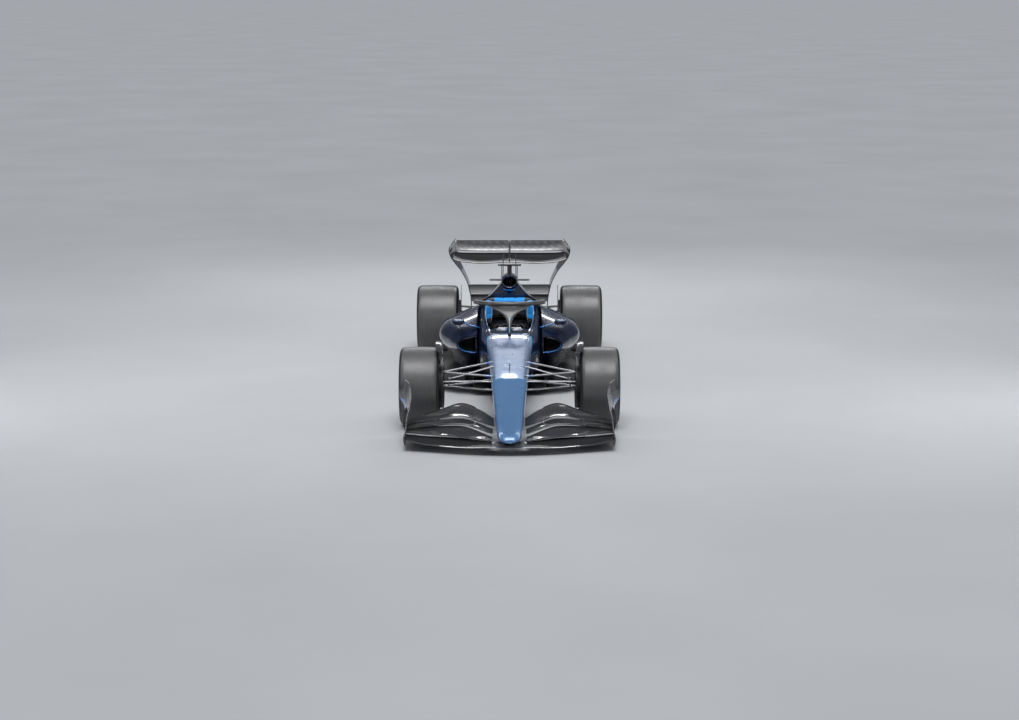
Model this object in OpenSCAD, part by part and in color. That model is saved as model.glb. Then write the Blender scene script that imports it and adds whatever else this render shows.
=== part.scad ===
// Open wheel racing car, millimetres. The front faces -Y, the driver's left is +X, +Z is up,
// and the origin is on the floor under the middle of the car.
// Lengths inside the modules are measured back from the front axle; car() moves them to the frame.

/* [Overall] */
// Distance between the front and rear axles
wheelbase = 3600; // [3300:10:3900]
// Front wing ahead of the front axle
front_overhang = 1250; // [1200:10:1300]
// Rear wing behind the rear axle
rear_overhang = 720; // [700:10:800]
// Width over the tyres
overall_w = 2000; // [1900:10:2100]

/* [Wheels] */
// Diameter of every tyre
tyre_d = 720; // [680:5:760]
// Width of a front tyre
front_tyre_w = 360; // [300:5:380]
// Width of a rear tyre
rear_tyre_w = 447; // [400:5:460]
// Diameter of the rims
rim_d = 458; // [420:2:480]
// Thickness of the rim barrel
rim_wall = 9; // [6:1:14]
// Diameter of a front spindle
spindle_d = 60; // [50:1:70]
// Diameter of a drive shaft
shaft_d = 50; // [40:1:60]
// Running clearance on the radius of spindles, shafts and pins
running_gap = 0.05; // [0.02:0.01:0.1]
// Clearance between pieces that are seated on each other
seat_gap = 0.3; // [0.2:0.1:0.6]

/* [Steering] */
// Diameter of the kingpins
kingpin_d = 24; // [18:1:30]
// Steering lock in degrees each way
steer_lock = 18; // [10:1:20]
// Distance from the kingpin to the track rod
steering_arm = 100; // [90:1:110]
// Width of the steering wheel
steering_wheel_w = 280; // [250:5:300]
// Diameter of the steering column
column_d = 32; // [24:1:36]

/* [Body] */
// Half width of the survival cell at the cockpit
cell_half_w = 318; // [300:1:325]
// Length of the cockpit opening
cockpit_l = 860; // [800:10:900]
// Thickness of the survival cell's wall
cell_wall = 24; // [16:1:32]
// Half width over the sidepods
sidepod_half_w = 702; // [650:2:740]
// Half width over the floor
floor_half_w = 780; // [740:5:800]
// Width of the skid plank
plank_w = 300; // [240:10:320]
// Thickness of the skid plank
plank_t = 10; // [8:1:12]
// Height of the plank above the ground
ride_height = 40; // [30:1:60]
// Diameter of the starter shaft socket
starter_d = 26; // [20:1:32]

/* [Wings] */
// Half width of the front wing between its endplates
front_wing_half = 900; // [860:5:920]
// Thickness of the wing endplates
endplate_t = 10; // [8:1:14]
// Opening angle of the upper rear flap in degrees
flap_angle = 18; // [10:1:20]
// Diameter of the flap's pivot pins
flap_pin_d = 12; // [8:1:14]

/* [Hidden] */

$fn = 64;
front_axle_y = front_overhang - (front_overhang + wheelbase + rear_overhang) / 2;
axle_z = tyre_d / 2;
front_wheel_x = (overall_w - front_tyre_w) / 2;
rear_wheel_x = (overall_w - rear_tyre_w) / 2;
rim_r = rim_d / 2;
kingpin_x = overall_w / 2 - front_tyre_w - 20;
upper_eye_z = 478;
lower_eye_z = 372;
eye_h = 24;
eye_d = kingpin_d + 24;
rack_y = -steering_arm;
rack_z = 425;
column_tilt = 18;
cockpit_y = 1190;
cell_end = 2300;
floor_z = ride_height + plank_t;
floor_t = 10;
cell_z = floor_z + floor_t;
carbon = [0.05, 0.055, 0.06];
navy = [0.04, 0.07, 0.16];
light_blue = [0.2, 0.45, 0.75];
silver = [0.62, 0.64, 0.67];

// ---- Placing and shaping helpers ----

module car() translate([0, front_axle_y, 0]) children();

// The children on the driver's left, and mirrored on the right
module both() { children(); mirror([1, 0, 0]) children(); }

module axle_cyl(r, x0, x1) translate([x0, 0, 0]) rotate([0, 90, 0]) cylinder(r = r, h = x1 - x0);

function secant(rows, i, k) = (rows[i + 1][k] - rows[i][k]) / (rows[i + 1][0] - rows[i][0]);
function tangent(rows, i, k) =
    i == 0 ? secant(rows, 0, k) : i == len(rows) - 1 ? secant(rows, i - 1, k)
    : let (a = secant(rows, i - 1, k), b = secant(rows, i, k)) a * b <= 0 ? 0 : 2 * a * b / (a + b);
function segment(rows, s, i = 0) = i >= len(rows) - 2 || s <= rows[i + 1][0] ? i : segment(rows, s, i + 1);

// Value k of a table of stations at the distance s, smooth and without overshoot
function smooth(rows, s, k) =
    let (i = segment(rows, s), h = rows[i + 1][0] - rows[i][0], t = max(0, min(1, (s - rows[i][0]) / h)))
    rows[i][k] * (2 * t ^ 3 - 3 * t ^ 2 + 1) + tangent(rows, i, k) * h * (t ^ 3 - 2 * t ^ 2 + t)
    + rows[i + 1][k] * (3 * t ^ 2 - 2 * t ^ 3) + tangent(rows, i + 1, k) * h * (t ^ 3 - t ^ 2);
function station(rows, s) = [for (k = [0 : len(rows[0]) - 1]) k == 0 ? s : smooth(rows, s, k)];

// The stations of a table with others evenly between them, so that each span has the given number of steps
function refined(rows, steps) = [
    for (i = [0 : len(rows) - 2], j = [0 : steps - 1])
        station(rows, rows[i][0] + (rows[i + 1][0] - rows[i][0]) * j / steps),
    rows[len(rows) - 1]];

function power(v, e) = sign(v) * pow(abs(v), e);

// Superellipse across the car; s = [y, half width, bottom, widest height, top, top exponent, bottom exponent]
function body_section(s, count) = [for (i = [0 : count - 1])
    let (a = 360 * i / count, up = sin(a) >= 0)
    [s[1] * power(cos(a), 2 / (up ? s[5] : s[6])), s[0],
     s[3] + (up ? s[4] - s[3] : s[3] - s[2]) * power(sin(a), 2 / (up ? s[5] : s[6]))]];

// Point of a uniform cubic B-spline over the control points e, at u from 0 to len(e) - 3
function bspline(e, u) =
    let (k = min(floor(u), len(e) - 4), t = u - k)
    (e[k] * (1 - t) ^ 3 + e[k + 1] * (3 * t ^ 3 - 6 * t ^ 2 + 4)
        + e[k + 2] * (3 * t + 3 * t ^ 2 - 3 * t ^ 3 + 1) + e[k + 3] * t ^ 3) / 6;

// Curve that starts and ends on its first and last control points
function clamped_curve(points, count) =
    let (last = points[len(points) - 1], e = concat([points[0], points[0]], points, [last, last]))
    [for (i = [0 : count]) bspline(e, (len(e) - 3) * i / count)];

function at_y(y, points) = [for (p = points) [p[0], y, p[1]]];

// A section drawn in towards its own middle
function shrunk(section, share, y) =
    let (c = [for (p = section) 1] * section / len(section))
    [for (p = section) let (q = c + (p - c) * share) [q[0], y, q[2]]];

// Wing section at the distance s[0] across the car; s = [x, front y, front z, rear y, rear z, thickness, camber]
function wing_section(s, count) =
    let (chord = norm([s[3] - s[1], s[4] - s[2]]), along = [s[3] - s[1], s[4] - s[2]] / chord,
         up = [-along[1], along[0]],
         at = function (t, side) let (
             half = 5 * s[5] * (0.2969 * sqrt(t) - 0.126 * t - 0.3516 * t ^ 2 + 0.2843 * t ^ 3 - 0.1036 * t ^ 4)
                 + 0.9 * t,
             c = -4 * s[6] * t * (1 - t))
             [s[1], s[2]] + along * (t * chord) + up * (c + side * half))
    [for (i = [0 : 2 * count - 1])
        let (t = (1 + cos(180 * i / count)) / 2, p = at(t, i <= count ? -1 : 1)) if (i != count) [s[0], p[0], p[1]]
        else [s[0], s[1], s[2]]];

// Solid through a list of sections, each with as many points; fan closes the two ends from their middles,
// which suits a plump section with straight stretches
module loft(sections, fan = false) {
    n = len(sections[0]);
    m = len(sections);
    ends = fan ? [for (s = [sections[0], sections[m - 1]]) [for (p = s) 1] * s / n] : [];
    polyhedron(
        points = concat([for (s = sections, p = s) p], ends),
        faces = concat(
            fan ? [for (i = [0 : n - 1], e = [0, 1]) let (a = e * (m - 1) * n + i, b = e * (m - 1) * n + (i + 1) % n)
                e == 0 ? [b, a, m * n] : [a, b, m * n + 1]]
            : [[for (i = [n - 1 : -1 : 0]) i], [for (i = [0 : n - 1]) (m - 1) * n + i]],
            [for (j = [0 : m - 2], i = [0 : n - 1])
                each let (a = j * n + i, b = j * n + (i + 1) % n) [[a, b, b + n], [a, b + n, a + n]]]),
        convexity = 6);
}

// Curved sheet of even thickness; grid is rows of points, offset leads from it to its other face
module sheet(grid, offset) {
    m = len(grid);
    n = len(grid[0]);
    flip = cross(grid[1][0] - grid[0][0], grid[0][1] - grid[0][0]) * offset < 0;
    rim = concat([for (i = [0 : m - 1]) i * n], [for (j = [1 : n - 1]) (m - 1) * n + j],
        [for (i = [m - 2 : -1 : 0]) i * n + n - 1], [for (j = [n - 2 : -1 : 1]) j]);
    far = m * n;
    faces = concat(
        [for (i = [0 : m - 2], j = [0 : n - 2])
            each let (a = i * n + j) [[a, a + n, a + n + 1], [a, a + n + 1, a + 1],
                [far + a, far + a + n + 1, far + a + n], [far + a, far + a + 1, far + a + n + 1]]],
        [for (i = [0 : len(rim) - 1])
            each let (p = rim[i], q = rim[(i + 1) % len(rim)]) [[p, far + p, far + q], [p, far + q, q]]]);
    polyhedron(
        points = concat([for (r = grid, p = r) p], [for (r = grid, p = r) p + offset]),
        faces = flip ? [for (f = faces) [f[2], f[1], f[0]]] : faces,
        convexity = 6);
}

// Tube of an oval section along a path that lies mostly across and along the car
module oval_tube(path, wide, high, count = 10) {
    last = len(path) - 1;
    loft([for (i = [0 : last])
        let (d = path[min(i + 1, last)] - path[max(i - 1, 0)], side = cross([0, 0, 1], d) / norm(cross([0, 0, 1], d)),
             up = cross(d, side) / norm(d))
        [for (k = [0 : count - 1]) path[i] + side * (-wide / 2 * cos(360 * k / count))
            + up * (high / 2 * sin(360 * k / count))]]);
}

// Streamlined arm from p to q, flat along the car
module arm(p, q, chord, thick) {
    d = q - p;
    z = d / norm(d);
    x = cross([0, 1, 0], z) / norm(cross([0, 1, 0], z));
    y = cross(z, x);
    multmatrix([[x[0], y[0], z[0], p[0]], [x[1], y[1], z[1], p[1]], [x[2], y[2], z[2], p[2]], [0, 0, 0, 1]])
        linear_extrude(norm(d))
            polygon([for (i = [0 : 11]) let (a = 30 * i)
                [thick / 2 * sin(a) * (1 - 0.35 * (1 - cos(a)) / 2), -chord / 2 * cos(a)]]);
}

function cut_path(points, steps) = let (rows = [for (i = [0 : len(points) - 1]) concat(i, points[i])])
    [for (r = refined(rows, steps)) [r[1], r[2], r[3]]];

// ---- Survival cell, nose and bodywork ----

// [y, half width, bottom, widest height, top, top exponent, bottom exponent]
cell_rows = [
    [-330, 160, 330, 420, 500, 3.4, 3],
    [0, 176, 325, 430, 535, 3.4, 3],
    [300, 190, 318, 440, 562, 3.4, 3],
    [650, 208, 280, 450, 592, 3.4, 3],
    [1000, 250, 170, 455, 622, 3.2, 3],
    [1250, cell_half_w - 20, 90, 470, 668, 3.4, 3],
    [1600, cell_half_w, cell_z + seat_gap, 480, 730, 4.5, 3],
    [2000, cell_half_w, cell_z + seat_gap, 480, 790, 6, 3],
    [2080, cell_half_w - 4, cell_z + seat_gap, 470, 640, 6, 3],
    [cell_end, cell_half_w - 20, cell_z + seat_gap, 460, 600, 6, 3]];
cavity_end = 2000;
cavity_rows = [for (r = cell_rows) if (r[0] >= 0 && r[0] <= cavity_end)
    [max(r[0], 120), r[1] - cell_wall, r[2] + cell_wall, r[3], r[4] - cell_wall, r[5], r[6]]];

// Round middle of the steering rack, and half the length of its bearing in the cell
rack_d = 32;
rack_bush = 60;

// Directions and places of the steering column, whose axis leads up to the driver
column_dir = [0, cos(column_tilt), sin(column_tilt)];
column_hub = [0, 1310, 640];
column_l = 330;
column_boss = 200;

module on_column(back) translate(column_hub - column_dir * back) rotate([column_tilt - 90, 0, 0]) children();

module cell_body() loft([for (s = refined(cell_rows, 2)) body_section(s, 24)]);

module cockpit_opening() {
    outline = [[120, 0], [185, 60], [215, 180], [235, cockpit_l - 260], [232, cockpit_l - 60], [190, cockpit_l]];
    translate([0, cockpit_y, 520]) linear_extrude(600)
        polygon(concat(outline, [for (i = [len(outline) - 1 : -1 : 0]) [-outline[i][0], outline[i][1]]]));
}

// Flat seats for the halo's three feet
halo_front_y = 1075;
halo_front_z = 652;
halo_rear = [276, 1975];
halo_rear_z = 776;
halo_foot_r = 32;

module monocoque() color(navy) car() {
    difference() {
        union() {
            difference() {
                cell_body();
                loft([for (s = cavity_rows) body_section(s, 20)]);
                cockpit_opening();
            }
            translate([-228, 1105, 548]) cube([456, 20, 42]);
            on_column(column_boss + 20) cylinder(d = column_d + 24, h = 40);
            translate([0, halo_front_y, 610]) cylinder(r = halo_foot_r, h = halo_front_z - 610);
            both() translate([halo_rear[0], halo_rear[1], 700]) cylinder(r = halo_foot_r, h = halo_rear_z - 700);
        }
        on_column(column_l) cylinder(d = column_d + 2 * running_gap, h = column_l);
        translate([0, rack_y, rack_z]) axle_cyl(rack_d / 2 + running_gap, -rack_bush - 1, rack_bush + 1);
        both() translate([rack_bush, rack_y - 38, rack_z - 18]) cube([300, 76, 36]);
    }
}

// [y, half width, bottom, widest height, top, top exponent, bottom exponent]
nose_rows = [
    [-1165, 46, 98, 108, 120, 2.2, 2.2],
    [-1130, 84, 96, 116, 150, 2.6, 2.4],
    [-1050, 108, 100, 150, 196, 3, 2.6],
    [-900, 120, 140, 205, 262, 3.2, 2.8],
    [-600, 140, 240, 320, 388, 3.4, 3],
    [-330 - seat_gap, 160, 330, 420, 500, 3.4, 3]];

module nose_cone() color(light_blue) car() {
    loft([for (s = refined(nose_rows, 3)) body_section(s, 24)]);
    difference() {
        translate([-42, -1125, 77]) cube([84, 38, 34]);
        main_plane();
    }
}

// Half width of the wall between the engine cover and a sidepod, along the car
wall_w = cell_half_w + seat_gap;
body_end = wheelbase - 200;
bay_y = cell_end + (body_end - cell_end) * 4 / 11;
tail_y = cell_end + (body_end - cell_end) * 8 / 11;
wall_rows = [[1200, wall_w], [bay_y, wall_w], [tail_y, 250], [body_end, 190]];

// [y, spine half width, spine height, neck half width, neck height, shoulder height, skirt height, top]
cover_rows = [
    [2090, 70, 1000, 190, 850, 790, 650, 1060],
    [2300, 66, 990, 200, 830, 740, 590, 1050],
    [bay_y, 50, 890, 160, 740, 620, 490, 950],
    [tail_y, 36, 760, 110, 620, 490, 380, 850],
    [body_end, 26, 640, 80, 540, 420, 300, 740]];

function cover_section(s, inset, drop) =
    let (w = lookup(s[0], wall_rows) - 2 * seat_gap - inset, spine = max(s[1] - inset, 8), t = s[7] - inset,
         c = clamped_curve([[w, s[6] - drop], [w, (s[6] + s[5]) / 2], [w, s[5] - inset],
             [s[3] - inset, s[4] - inset], [spine, s[2] - inset], [spine / 2, t]], 11))
    at_y(s[0], concat(c, [for (i = [11 : -1 : 0]) [-c[i][0], c[i][1]]]));

module cover_body() loft([for (s = refined(cover_rows, 3)) cover_section(s, 0, 0)], true);

snout_z = 1008;
snout_front = 2015;
// [y, half width, half height]
snout_rows = [[snout_front, 76, 62], [2090, 88, 72], [2250, 84, 66], [2450, 62, 50]];

module snout(inset) loft([for (s = refined(snout_rows, 2))
    [for (i = [0 : 15]) [(s[1] - inset) * cos(22.5 * i), s[0] - (s[0] == snout_front ? 2 * inset : 0),
        snout_z - (s[0] - snout_front) * 0.04 + (s[2] - inset) * sin(22.5 * i)]]]);

cover_wall = 12;
module engine_cover() color(navy) car() {
    difference() {
        union() {
            cover_body();
            snout(0);
            translate([-4, 0, 0]) rotate([90, 0, 90]) linear_extrude(8)
                polygon([[bay_y - 270, 960], [bay_y - 180, 1000], [bay_y, 1002], [body_end - 60, 900],
                    [body_end + 90, 860], [body_end + 60, 700], [body_end - 10, 640], [bay_y, 900]]);
        }
        loft([for (s = refined(cover_rows, 3))
            cover_section([s[0] + (s[0] == 2090 ? cover_wall : s[0] == body_end ? 10 : 0), s[1], s[2], s[3], s[4],
                s[5], s[6], s[7]], cover_wall, 60)], true);
        snout(10);
    }
}

// [y, inner top, top, outer half width, widest height, underside, undercut half width, bottom]
pod_rows = [
    [1300, 600, 570, 545, 485, 425, 380, 410],
    [1450, 660, 650, 625, 490, 400, 420, 300],
    [1700, 730, 680, sidepod_half_w + 25, 495, 370, 450, 180],
    [2000, 768, 660, sidepod_half_w + 35, 480, 320, 500, 105],
    [bay_y - 300, 690, 610, sidepod_half_w + 30, 420, 240, 560, 100],
    [bay_y, 585, 535, sidepod_half_w - 30, 350, 180, 540, 100],
    [tail_y, 445, 410, 470, 245, 155, 400, 112],
    [body_end, 330, 300, 290, 190, 150, 240, 130]];

function pod_section(s) =
    let (w = lookup(s[0], wall_rows))
    at_y(s[0], clamped_curve([[w, s[7]], [s[6], s[7]], [s[6] + 20, (s[5] + s[7]) / 2],
        [(s[6] + s[3]) / 2, s[5]], [s[3], s[4]], [s[3] - 60, (s[2] + s[4]) / 2 + 40],
        [(w + s[3]) / 2, s[2]], [w, s[1]]], 19));

module pod_body() loft([for (s = refined(pod_rows, 2)) pod_section(s)], true);
module sidepod() difference() {
    pod_body();
    loft([for (y = [1280, 1420, 1600, 1780, 1900])
        shrunk(pod_section(station(pod_rows, max(y, 1300))), 0.84 - max(0, y - 1420) / 3000, y)], true);
}

module left_sidepod() color(navy) car() sidepod();
module right_sidepod() color(navy) car() mirror([1, 0, 0]) sidepod();

// [y, half width, inner edge of the tunnel, height of the tunnel, height of the edge]
floor_rows = [
    [1230, 480, 335, 235, 225],
    [1400, 640, 335, 180, 120],
    [1700, floor_half_w - 20, 300, 105, 62],
    [2100, floor_half_w, 240, 74, 58],
    [2100 + (wheelbase - 2600) * 0.8, floor_half_w, 220, 74, 58],
    [wheelbase - 500, floor_half_w - 30, 200, 78, 58],
    [wheelbase - 375, 545, 190, 86, 58],
    [wheelbase - 200, 540, 180, 104, 58],
    [wheelbase + 100, 532, 160, 210, 58],
    [wheelbase + 400, 525, 150, 330, 56]];

module car_floor() color(carbon) car() {
    sheet([for (s = refined(floor_rows, 2)) let (side = [[s[1], s[4]], [s[1] - 40, s[3] - 3], [(s[1] + s[2]) / 2, s[3]],
            [s[2] + 50, s[3]], [s[2], floor_z], [80, floor_z]])
        [for (p = concat(side, [for (i = [5 : -1 : 0]) [-side[i][0], side[i][1]]])) [p[0], s[0], p[1]]]],
        [0, 0, floor_t]);
    translate([0, 0, floor_z]) linear_extrude(floor_t)
        polygon([[-150, 1240], [-150, 940], [-110, 880], [110, 880], [150, 940], [150, 1240]]);
}

module skid_plank() color([0.35, 0.27, 0.2]) car() translate([0, 0, ride_height]) linear_extrude(plank_t - seat_gap)
    polygon([[-plank_w / 2, 3300], [-plank_w / 2, 980], [-plank_w / 3, 900], [plank_w / 3, 900], [plank_w / 2, 980],
        [plank_w / 2, 3300]]);

// ---- Cockpit ----

halo_path = [[0, 1262, 905], [130, 1285, 906], [255, 1400, 896], [330, 1600, 872], [330, 1830, 838],
    [halo_rear[0] + 6, halo_rear[1] - 20, 800]];

module halo() color([0.08, 0.08, 0.09]) car() {
    right = cut_path(halo_path, 3);
    oval_tube(concat([for (i = [len(right) - 1 : -1 : 1]) [-right[i][0], right[i][1], right[i][2]]], right), 58, 44);
    both() translate([halo_rear[0], halo_rear[1], halo_rear_z + seat_gap]) cylinder(r = halo_foot_r, h = 30);
    loft([for (s = [[halo_front_z + seat_gap, 1075, 11, 30], [700, 1100, 10, 30], [780, 1150, 10, 34],
            [850, 1205, 20, 40], [895, 1250, 60, 30]])
        [for (i = [0 : 11]) [s[2] * cos(30 * i), s[1] - s[3] * sin(30 * i), s[0]]]]);
}

surround_z = 660;
module cockpit_surround() color([0.1, 0.5, 0.85]) car() {
    back = cockpit_y + cockpit_l;
    side = [[190, back - seat_gap], [232 - seat_gap, back - 60], [235 - seat_gap, back - 260], [222, 1560],
        [182, 1580], [176, back - 200], [150, back - 130], [110, back - 105]];
    translate([0, 0, surround_z]) linear_extrude(190)
        polygon(concat(side, [for (i = [len(side) - 1 : -1 : 0]) [-side[i][0], side[i][1]]]));
}

seat_half_w = 200;
module seat() color([0.1, 0.1, 0.11]) car() {
    top = [cavity_end - seat_gap, 620];
    low = [cavity_end - seat_gap, 480];
    translate([-seat_half_w, 0, 0]) rotate([90, 0, 90]) linear_extrude(2 * seat_half_w)
        polygon([[1420, 232], [1680, 142], [1800, 142], low, top, [top[0] - 30, top[1] + 10], [1780, 180], [1690, 176],
            [1430, 262]]);
    both() translate([seat_half_w - 16, 0, 0]) rotate([90, 0, 90]) linear_extrude(16)
        polygon([[1420, 232], [1680, 142], [1800, 142], low, top, [1890, 620], [1760, 400], [1660, 300], [1430, 290]]);
}

module steering_wheel() color(carbon) car() {
    on_column(column_l - 10) cylinder(d = column_d, h = column_l - 20);
    on_column(22) linear_extrude(24) offset(r = 12) offset(delta = -12)
        polygon([for (s = [1, -1], p = [[steering_wheel_w / 2, -62], [steering_wheel_w / 2, 50],
            [steering_wheel_w / 2 - 22, 74], [60, 78]]) s > 0 ? p : [-p[0], -p[1] * 0.9]]);
}

module mirrors() color(navy) car() both() difference() {
    union() {
        loft([for (s = [[1325, 0.7], [1340, 0.95], [1370, 1.02], [1392, 1]])
            [for (p = body_section([0, 64 * s[1], -30 * s[1], 0, 30 * s[1], 3, 2.6], 12)) [504 + p[0], s[0], 712 + p[2]]]]);
        arm([470, 1372, 712], [285, 1420, 650], 34, 9);
        arm([500, 1368, 700], [450, 1500, 560], 30, 8);
    }
    cell_body();
    pod_body();
}

module camera_pod() color(carbon) car() {
    difference() {
        union() {
            translate([-118, 2150, 1147]) cube([236, 62, 19]);
            translate([-14, 2155, 1040]) cube([28, 90, 110]);
            both() translate([78, 2180, 1020]) cylinder(r = 4, h = 130);
            both() translate([60, 2165, 994]) cube([145, 56, 16]);
        }
        snout(0);
        cover_body();
    }
}

// ---- Front wing ----

// [x, front y, front z, rear y, rear z, thickness, camber]
main_rows = [
    [0, -front_overhang, 70, -1045, 84, 14, 6],
    [160, -front_overhang + 10, 74, -1045, 88, 14, 8],
    [432, -1190, 62, -985, 106, 16, 16],
    [700, -1120, 70, -950, 112, 15, 16],
    [front_wing_half - seat_gap, -1075, 98, -910, 122, 12, 8]];
lower_rows = [
    [150, -1085, 104, -960, 108, 10, 4],
    [432, -1030, 124, -860, 184, 15, 16],
    [660, -985, 130, -820, 168, 13, 13],
    [front_wing_half - seat_gap, -940, 138, -820, 147, 8, 4]];
middle_rows = [
    [146, -945, 128, -800, 142, 10, 6],
    [432, -880, 200, -742, 224, 12, 14],
    [660, -840, 184, -730, 200, 11, 11],
    [front_wing_half - seat_gap, -840, 156, -740, 158, 8, 3]];
upper_rows = [
    [138, -785, 160, -630, 198, 10, 8],
    [270, -775, 200, -580, 270, 12, 14],
    [425, -745, 246, -550, 314, 13, 20],
    [602, -725, 222, -550, 262, 12, 17],
    [front_wing_half - seat_gap, -700, 176, -580, 172, 8, 3]];

module element(rows, steps = 3, count = 7) loft([for (s = refined(rows, steps)) wing_section(s, count)]);
module main_plane() both() element(main_rows, 2);

module front_wing_mainplane() color(carbon) car() main_plane();
module front_wing_lower_flap() color(carbon) car() both() element(lower_rows);
module front_wing_middle_flap() color(carbon) car() both() element(middle_rows);
module front_wing_upper_flap() color(carbon) car() both() element(upper_rows);

// [y, top, distance out at the foot, in the middle and at the top]
endplate_rows = [
    [-1085, 135, 5, 4, 2],
    [-1000, 180, 1, 1, -2],
    [-900, 255, 0, -1, -8],
    [-800, 345, 0, -8, -28],
    [-720, 430, 0, -15, -38],
    [-650, 490, 0, -5, -28],
    [-580, 525, 12, 30, 5],
    [-510, 528, 25, 75, 35]];

module front_wing_endplates() color(carbon) car() both()
    sheet([for (s = refined(endplate_rows, 1)) [for (v = [0, 0.15, 0.3, 0.45, 0.6, 0.8, 1])
        [front_wing_half + smooth([[0, s[2]], [0.45, s[2]], [0.7, s[3]], [1, s[4]]], v, 1), s[0], 60 + v * (s[1] - 60)]]],
        [endplate_t, 0, 0]);

// ---- Front suspension and steering ----

upper_out = [kingpin_x, 0, upper_eye_z + eye_h / 2];
lower_out = [kingpin_x, 0, lower_eye_z - eye_h / 2];

module eye(z) difference() {
    translate([kingpin_x, 0, z]) cylinder(d = eye_d, h = eye_h);
    translate([kingpin_x, 0, z - 1]) cylinder(d = kingpin_d + 2 * running_gap, h = eye_h + 2);
}

module leg(out, inner, chord, thick)
    arm(out + (inner - out) / norm(inner - out) * (eye_d / 2 - 2), inner, chord, thick);

module front_wishbones() color(silver) car() difference() {
    both() {
        eye(upper_eye_z);
        eye(lower_eye_z - eye_h);
        leg(upper_out, [140, -240, 500], 46, 14);
        leg(upper_out, [150, 290, 528], 46, 14);
        leg(lower_out, [120, -260, 376], 46, 14);
        leg(lower_out, [150, 230, 372], 46, 14);
        translate([kingpin_x - 90, -24, lower_out[2] - 6]) cube([66, 48, 12]);
    }
    cell_body();
}

push_ball = [kingpin_x - 64, 0, 424];
module front_push_rods() color(silver) car() difference() {
    both() {
        arm(push_ball, [150, 100, 524], 40, 16);
        translate(push_ball) sphere(r = 17);
        translate([push_ball[0], 0, lower_out[2] + 6 + seat_gap]) cylinder(r = 8, h = push_ball[2] - lower_out[2] - 10);
    }
    cell_body();
}

rod_eye_d = 46;
rod_pin_d = 14;
arm_top = 412;
module steering_rack() color(silver) car() {
    translate([0, rack_y, rack_z]) axle_cyl(rack_d / 2, -rack_bush - 46, rack_bush + 46);
    both() arm([rack_bush + 40, rack_y, rack_z], [kingpin_x - 18, rack_y, rack_z], 50, 14);
    both() difference() {
        translate([kingpin_x, rack_y, rack_z - 5]) cylinder(d = rod_eye_d, h = 10);
        translate([kingpin_x, rack_y, rack_z - 6]) cylinder(d = rod_pin_d + 16, h = 12);
    }
}

drum_r = 200;
module drum(x0, x1, spin_y) translate([0, spin_y, axle_z]) difference() {
    axle_cyl(drum_r, x0, x1);
    axle_cyl(drum_r - 8, x0 - 1, x1 - 10);
    axle_cyl(spindle_d / 2, x0, x1 + 1);
}

hub_x = front_wheel_x - 50;
module front_knuckle() {
    body_x = kingpin_x + 30;
    translate([body_x, -45, 290]) cube([hub_x - 20 - body_x, 90, 184]);
    translate([kingpin_x, 0, 440]) cylinder(d = eye_d, h = upper_eye_z - 4 - 440);
    translate([kingpin_x, -20, 440]) cube([40, 40, upper_eye_z - 4 - 440]);
    translate([kingpin_x, 0, lower_eye_z + 4]) cylinder(d = eye_d, h = 22);
    translate([kingpin_x, -20, lower_eye_z + 4]) cube([40, 40, 22]);
    hull() {
        translate([kingpin_x, rack_y, arm_top - 12]) cylinder(d = 30, h = 12, $fn = 32);
        translate([body_x + 20, -44, arm_top - 12]) cylinder(d = 34, h = 12, $fn = 32);
    }
    translate([kingpin_x, 0, 460]) cylinder(d = kingpin_d, h = upper_eye_z + eye_h - 460);
    translate([kingpin_x, 0, lower_eye_z - eye_h]) cylinder(d = kingpin_d, h = eye_h + 10);
    translate([kingpin_x, rack_y, arm_top - 2]) cylinder(d = rod_pin_d, h = 24);
    translate([0, 0, axle_z]) axle_cyl(spindle_d / 2, hub_x - 40, hub_x + 140);
    drum(kingpin_x - 20, hub_x - 10, 0);
}
module left_front_knuckle() color(carbon) car() front_knuckle();
module right_front_knuckle() color(carbon) car() mirror([1, 0, 0]) front_knuckle();

module winglet() {
    fence_x = kingpin_x - 14;
    difference() {
        translate([fence_x, 0, 0]) rotate([90, 0, 90]) linear_extrude(6)
            polygon([[-175, 190], [-230, 240], [-268, 330], [-272, 430], [-250, 530], [-205, 620], [-140, 690],
                [-60, 735], [40, 752], [60, 700], [-40, 640], [-100, 520], [-150, 400], [-150, 260]]);
        translate([fence_x - 1, 0, axle_z]) rotate([0, 90, 0]) cylinder(r = drum_r + seat_gap, h = 8);
    }
    sheet([for (y = [-180 : 40 : 60]) let (z = axle_z + sqrt(392 ^ 2 - (y - 10) ^ 2))
        [for (p = [[0, -14], [14, 6], [40, 14], [64, 14]]) [fence_x + p[0], y, z + p[1]]]], [0, 0, 5]);
}
module left_front_winglet() color(carbon) car() winglet();
module right_front_winglet() color(carbon) car() mirror([1, 0, 0]) winglet();

// ---- Wheels ----

function arc(cx, cy, r, a0, a1, n) = [for (i = [0 : n]) [cx + r * cos(a0 + (a1 - a0) * i / n), cy + r * sin(a0 + (a1 - a0) * i / n)]];

// Around the wheel's axle along X, from a half profile of [distance out, radius]
module turned(profile) rotate([0, 90, 0]) rotate_extrude($fn = 96)
    polygon([for (p = profile) [p[1], p[0]]]);

module tyre(w) {
    h = w / 2;
    r = tyre_d / 2;
    color([0.06, 0.06, 0.065]) turned(concat(
        [[h - 38, rim_r + seat_gap], [h - 34, rim_r + 9], [h - 12, rim_r + 14]],
        arc(h - 44, r - 90, 44, -10, 0, 1), arc(h - 44, r - 50, 44, 0, 75, 5),
        [[h - 80, r - 2], [0, r], [80 - h, r - 2]],
        arc(44 - h, r - 50, 44, 105, 180, 5), arc(44 - h, r - 90, 44, 180, 190, 1),
        [[12 - h, rim_r + 14], [34 - h, rim_r + 9], [38 - h, rim_r + seat_gap]]));
}

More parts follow.
